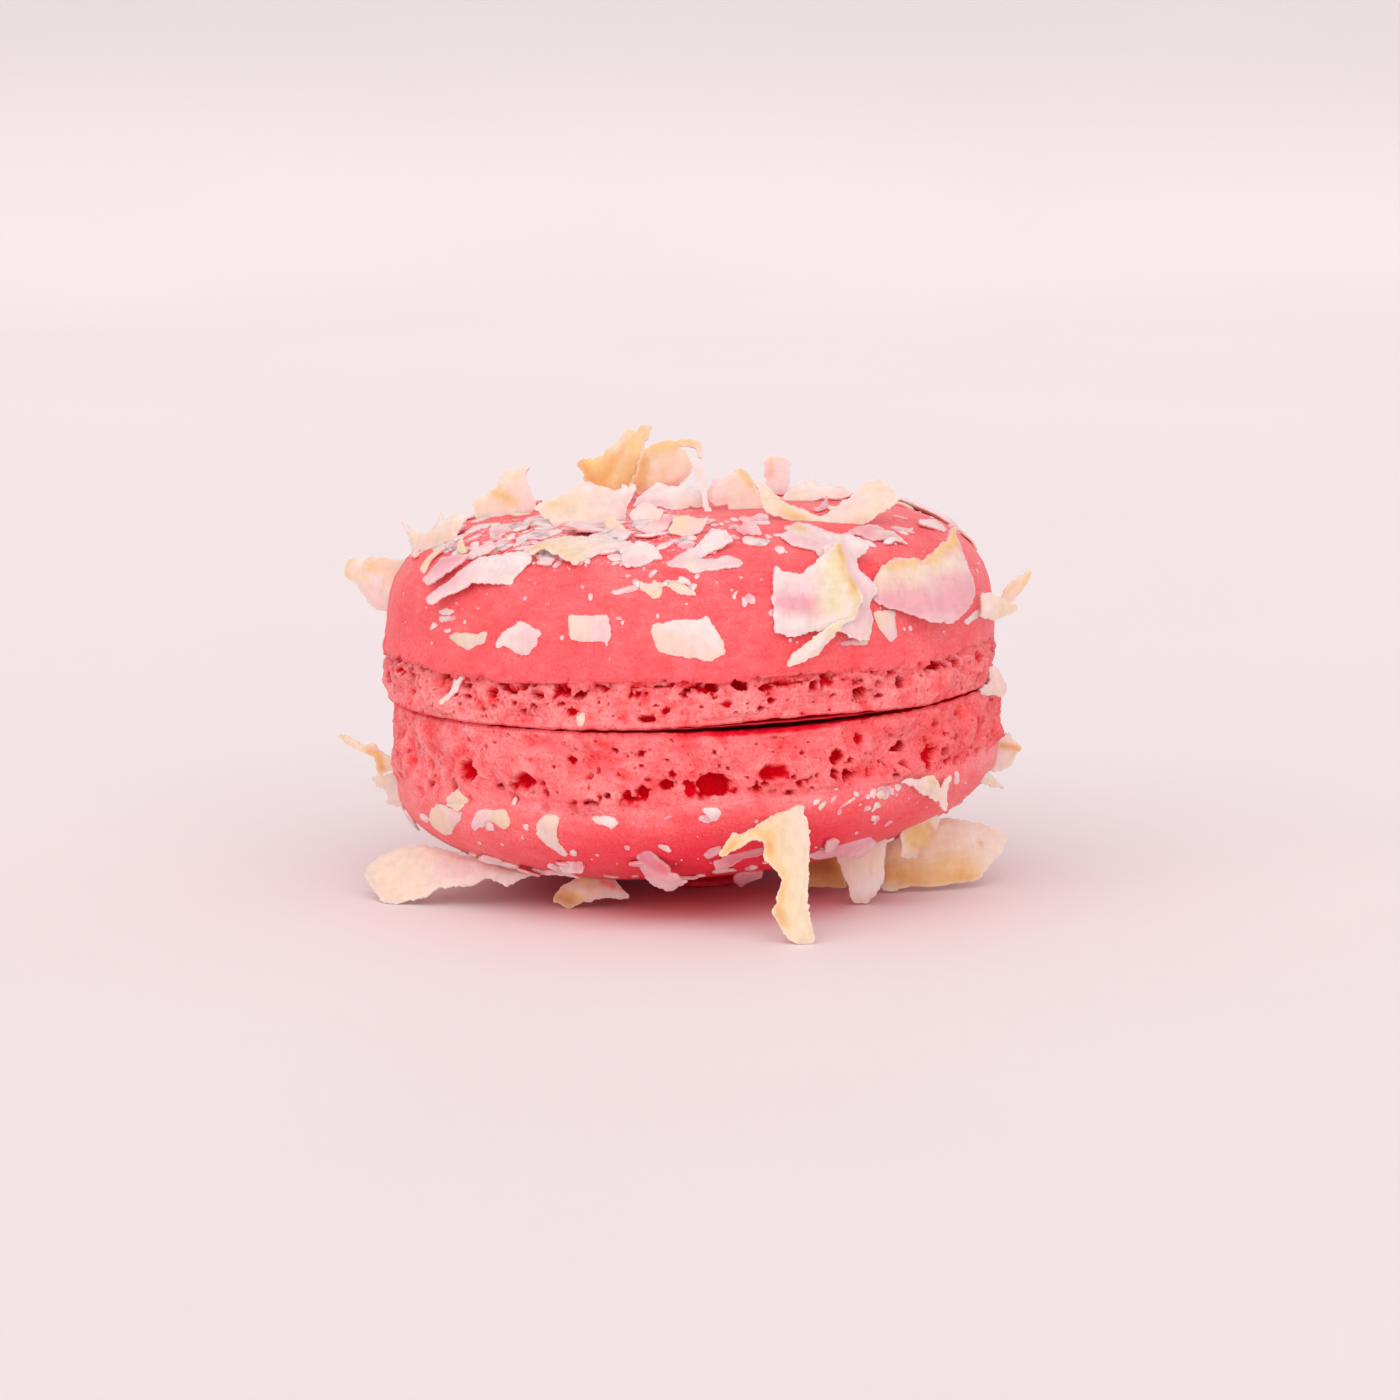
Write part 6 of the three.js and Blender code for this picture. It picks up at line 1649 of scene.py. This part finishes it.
class Shader:
    """A Principled material with a few nodes in front of it. Places are object coordinates, in metres."""

    def __init__(self, name, **sockets):
        self.material = bpy.data.materials.new(name)
        self.material.use_nodes = True
        self.nodes = self.material.node_tree.nodes
        self.links = self.material.node_tree.links
        self.principled = self.nodes["Principled BSDF"]
        for socket, value in sockets.items():
            self.principled.inputs[socket.replace("_", " ")].default_value = value

    def add(self, kind, inputs=None, **settings):
        node = self.nodes.new(kind)
        for setting, value in settings.items():
            setattr(node, setting, value)
        for socket, value in (inputs or {}).items():
            if isinstance(value, bpy.types.NodeSocket):
                self.links.new(value, node.inputs[socket])
            else:
                node.inputs[socket].default_value = value
        return node

    def lumps(self, size, detail=2.0, stretch=None):
        """Noise from 0 to 1 whose lumps are `size` millimetres across."""
        place = self.add("ShaderNodeTexCoord").outputs["Object"]
        if stretch:
            place = self.add("ShaderNodeMapping", {"Vector": place, "Scale": stretch}).outputs["Vector"]
        inputs = {"Vector": place, "Scale": 1 / (size * MM), "Detail": detail}
        value = self.add("ShaderNodeTexNoise", inputs).outputs["Fac"]
        return self.add("ShaderNodeMapRange", {"Value": value, **NOISE_RANGE}).outputs["Result"]

    def ranged(self, value, low, high):
        """A value from 0 to 1 as one from low to high."""
        inputs = {"Value": value, "To Min": low, "To Max": high}
        return self.add("ShaderNodeMapRange", inputs).outputs["Result"]

    def sum(self, first, second, operation="ADD"):
        return self.add("ShaderNodeMath", {0: first, 1: second}, operation=operation).outputs["Value"]

    def product(self, first, second):
        return self.sum(first, second, "MULTIPLY")

    def difference(self, first, second):
        return self.sum(first, second, "SUBTRACT")

    def mixed(self, share, first, second):
        """The first colour where the share is 0, and the second where it is 1."""
        inputs = {"Factor": share, 6: first, 7: second}
        return self.add("ShaderNodeMix", inputs, data_type="RGBA").outputs[2]

    def pinholes(self, spacing):
        """1 in small holes about `spacing` millimetres apart, in clusters, and 0 between them."""
        place = self.add("ShaderNodeTexCoord").outputs["Object"]
        cells = self.add("ShaderNodeTexVoronoi", {"Vector": place, "Scale": 1 / (spacing * MM)})
        hole = self.stepped(cells.outputs["Distance"], 0.3, 0.16)
        return self.product(hole, self.stepped(self.lumps(1.4), 0.5, 0.6))

    def stepped(self, value, start, end):
        """0 at start, 1 at end, and a smooth step between them."""
        inputs = {"Value": value, "From Min": start, "From Max": end}
        return self.add("ShaderNodeMapRange", inputs, interpolation_type="SMOOTHSTEP").outputs["Result"]

    def surface(self):
        """The colour at each point of the mesh, and its fourth number."""
        node = self.add("ShaderNodeAttribute", attribute_name="surface")
        return node.outputs["Color"], node.outputs["Alpha"]

    def shaded(self, colour, share, low, high):
        """A colour times a tint, which goes from low to high with a value from 0 to 1."""
        tint = self.mixed(share, (*low, 1), (*high, 1))
        return self.add("ShaderNodeMix", {"Factor": 1.0, 6: colour, 7: tint}, **MULTIPLY).outputs[2]

    def bump(self, height, depth):
        """Relief of the given depth in millimetres."""
        node = self.add("ShaderNodeBump", {"Height": height, "Distance": depth * MM, "Strength": 1.0})
        self.links.new(node.outputs["Normal"], self.principled.inputs["Normal"])

    def join(self, value, socket):
        self.links.new(value, self.principled.inputs[socket])


def meringue_material():
    """Matte skin with a fine grain, faint strokes and coconut dust, and a crumbly foam full of pinholes
    painted in the dark red of shade.
    """
    shader = Shader(
        "meringue",
        Subsurface_Weight=0.4,
        Subsurface_Radius=(1.0, 0.28, 0.26),
        Subsurface_Scale=0.45 * MM,
    )
    colour, kind = shader.surface()
    foot = shader.stepped(kind, 0.0, 1.0)
    dusty = shader.stepped(kind, 0.0, -1.0)
    pinholes = shader.product(shader.product(shader.pinholes(spacing=0.5), foot), PINHOLE_DARKNESS)
    grain = shader.lumps(0.2, detail=4.0)
    colour = shader.shaded(colour, shader.lumps(2.2, detail=4.0), *PATCHES)
    strokes = shader.lumps(0.5, detail=3.0, stretch=(0.35, 0.35, 1.5))
    colour = shader.shaded(colour, strokes, *STROKES)
    colour = shader.shaded(colour, grain, *GRAIN)
    crumbs = shader.sum(shader.lumps(0.32, detail=3.0), shader.product(dusty, DUSTIEST))
    specks = shader.stepped(crumbs, *SPECK_EDGE)
    colour = shader.mixed(shader.product(specks, SPECK_STRENGTH), colour, (*BLUSH, 1))
    shader.join(shader.mixed(pinholes, colour, (*PIT, 1)), "Base Color")
    shader.join(shader.ranged(foot, 0.5, 0.8), "Roughness")
    shader.join(shader.ranged(foot, 0.22, 0.05), "Specular IOR Level")
    height = shader.product(shader.sum(grain, specks), shader.ranged(foot, 0.3, 1.0))
    shader.bump(shader.difference(height, pinholes), depth=0.05)
    return shader.material


def coconut_material(name, depth):
    """Waxy, with fine fibres. Light goes `depth` millimetres into it."""
    shader = Shader(
        name,
        Subsurface_Weight=0.8,
        Subsurface_Radius=(1.0, 0.85, 0.76),
        Subsurface_Scale=depth * MM,
        Roughness=0.5,
        Specular_IOR_Level=0.3,
    )
    colour, _ = shader.surface()
    fibres = shader.lumps(0.6, detail=3.0, stretch=(1, 1, 0.4))
    shader.join(shader.shaded(colour, fibres, *FIBRES), "Base Color")
    shader.bump(shader.lumps(0.26, detail=4.0, stretch=(1, 1, 0.35)), depth=0.03)
    return shader.material


def filling_material():
    """Glossy, dark crimson."""
    shader = Shader("filling", Roughness=0.28, Coat_Weight=0.4, Coat_Roughness=0.12, Specular_IOR_Level=0.5)
    colour, _ = shader.surface()
    shader.join(shader.shaded(colour, shader.lumps(1.2), *SMEARS), "Base Color")
    shader.bump(shader.lumps(0.8), depth=0.05)
    return shader.material


# metres from the middle: where the painted red bounce light and shadow on the floor is strongest, and where
# it ends
NEAR = (0.005, 0.02)
WALL_HEIGHT = 0.04  # metres: the backdrop has its own colour from here up


def floor_material():
    """Pale, with painted red bounce light and shadow under the macaron, and a darker colour up the
    backdrop.
    """
    shader = Shader("floor", Roughness=0.6, Specular_IOR_Level=0.1)
    place = shader.add("ShaderNodeTexCoord").outputs["Object"]
    away = shader.add("ShaderNodeVectorMath", {0: place}, operation="LENGTH").outputs["Value"]
    height = shader.add("ShaderNodeSeparateXYZ", {0: place}).outputs["Z"]
    colour = shader.mixed(shader.stepped(height, 0.0, WALL_HEIGHT), (*FLOOR, 1), (*WALL, 1))
    colour = shader.mixed(shader.stepped(away, *reversed(NEAR)), colour, (*FLOOR_BOUNCE_TINT, 1))
    shader.join(shader.shaded(colour, shader.lumps(60.0, detail=1.0), *FLOOR_CLOUDS), "Base Color")
    return shader.material


# ----------------------------------------------------------------------------- the macaron's pieces


def build_macaron():
    meringue = meringue_material()
    flakes = coconut_material("coconut_flakes", depth=0.12)
    coconut = coconut_material("coconut", depth=0.45)
    for shell in (UPPER, LOWER):
        nodes, matrix = [shell.name], shell_matrix(shell)
        points, triangles, colours = shell_surface(shell)
        points = placed(matrix, points)
        add_piece(shell.name + "_meringue", points, triangles, colours, meringue, "meringue", nodes)
        points, triangles, colours = joined([flake_mesh(shell, flake) for flake in flakes_of(shell)])
        points = placed(matrix, points)
        add_piece(shell.name + "_flakes", points, triangles, colours, flakes, "coconut", nodes, crisp=True)
    add_piece("filling_smear", *filling_mesh(), filling_material(), "filling", ["filling"])
    far = [chip for group, kind in enumerate(FAR_CHIPS) for chip in far_chips(kind, group)]
    # every chip gets the coconut material, also those to which the record gives toasted_coconut
    for seed, chip in enumerate([SHADOWED_PAD_CHIP, *CHIPS, *far]):
        add_piece(chip.name + "_flesh", *chip_mesh(chip, seed), coconut, "coconut", [chip.name], crisp=True)


# -------------------------------------------------------------------------- floor, light and camera

FLOOR_HALF = 2.0  # metres, as are the next three
SWEEP_START = 0.45  # where the floor starts to curve up behind
SWEEP_RADIUS = 0.5
BACKDROP_TOP = 2.5
AMBIENT = (1.0, 0.985, 0.985, 1)
AMBIENT_STRENGTH = 0.56
# name, azimuth, elevation, strength and spread of each soft sun
SUNS = (("key", -42, 54, 0.5, 60), ("fill", 42, 50, 0.42, 60), ("front", -6, 0, 2.15, 110))


def build_backdrop():
    """A pale floor that sweeps up behind in one curve."""
    turn = np.linspace(0, math.pi / 2, 24)
    sweep_depth = SWEEP_START + SWEEP_RADIUS * np.sin(turn)
    sweep_height = SWEEP_RADIUS * (1 - np.cos(turn))
    depth = np.array([-FLOOR_HALF, 0, *sweep_depth, SWEEP_START + SWEEP_RADIUS])
    height = np.array([0, 0, *sweep_height, BACKDROP_TOP])
    points = [(x, y, z) for x in (-FLOOR_HALF, FLOOR_HALF) for y, z in zip(depth, height)]
    count = len(depth)
    faces = [(k, count + k, count + k + 1, k + 1) for k in range(count - 1)]
    mesh = bpy.data.meshes.new("floor")
    mesh.from_pydata(points, [], faces)
    mesh.shade_smooth()
    mesh.materials.append(floor_material())
    floor = bpy.data.objects.new("floor", mesh)
    bpy.context.scene.collection.objects.link(floor)


def add_sun(name, azimuth, elevation, strength, spread):
    """A soft sun. Its spread is the angle that it fills in the sky."""
    light = bpy.data.lights.new(name, "SUN")
    light.energy = strength
    light.angle = math.radians(spread)
    lamp = bpy.data.objects.new(name, light)
    lamp.rotation_euler = (math.radians(90 - elevation), 0, math.radians(azimuth))
    bpy.context.scene.collection.objects.link(lamp)


def build_light():
    world = bpy.data.worlds.new("studio")
    world.use_nodes = True
    background = world.node_tree.nodes["Background"]
    background.inputs["Color"].default_value = AMBIENT
    background.inputs["Strength"].default_value = AMBIENT_STRENGTH
    bpy.context.scene.world = world
    for sun in SUNS:
        add_sun(*sun)


CAMERA_ELEVATION = 8.3  # degrees
CAMERA_DISTANCE = 0.5  # metres, as is the point it looks at
CAMERA_TARGET = np.array((0.0005, 0.0, 0.0136))
FRAME_WIDTH = 1400  # pixels
FOCAL_PIXELS = 13.67 * CAMERA_DISTANCE / MM  # pixels a radian: 13.67 pixels a millimetre at the target


def build_camera():
    camera = bpy.data.cameras.new("camera")
    camera.sensor_width = 36
    camera.lens = camera.sensor_width * FOCAL_PIXELS / FRAME_WIDTH
    camera.clip_start = 0.02
    camera.clip_end = 20
    holder = bpy.data.objects.new("camera", camera)
    rise = math.radians(CAMERA_ELEVATION)
    holder.location = CAMERA_TARGET + CAMERA_DISTANCE * np.array((0, -math.cos(rise), math.sin(rise)))
    holder.rotation_euler = (math.pi / 2 - rise, 0, 0)
    bpy.context.scene.collection.objects.link(holder)
    bpy.context.scene.camera = holder


build_camera()
build_light()
build_backdrop()
build_macaron()
bpy.context.scene.view_settings.view_transform = "Standard"
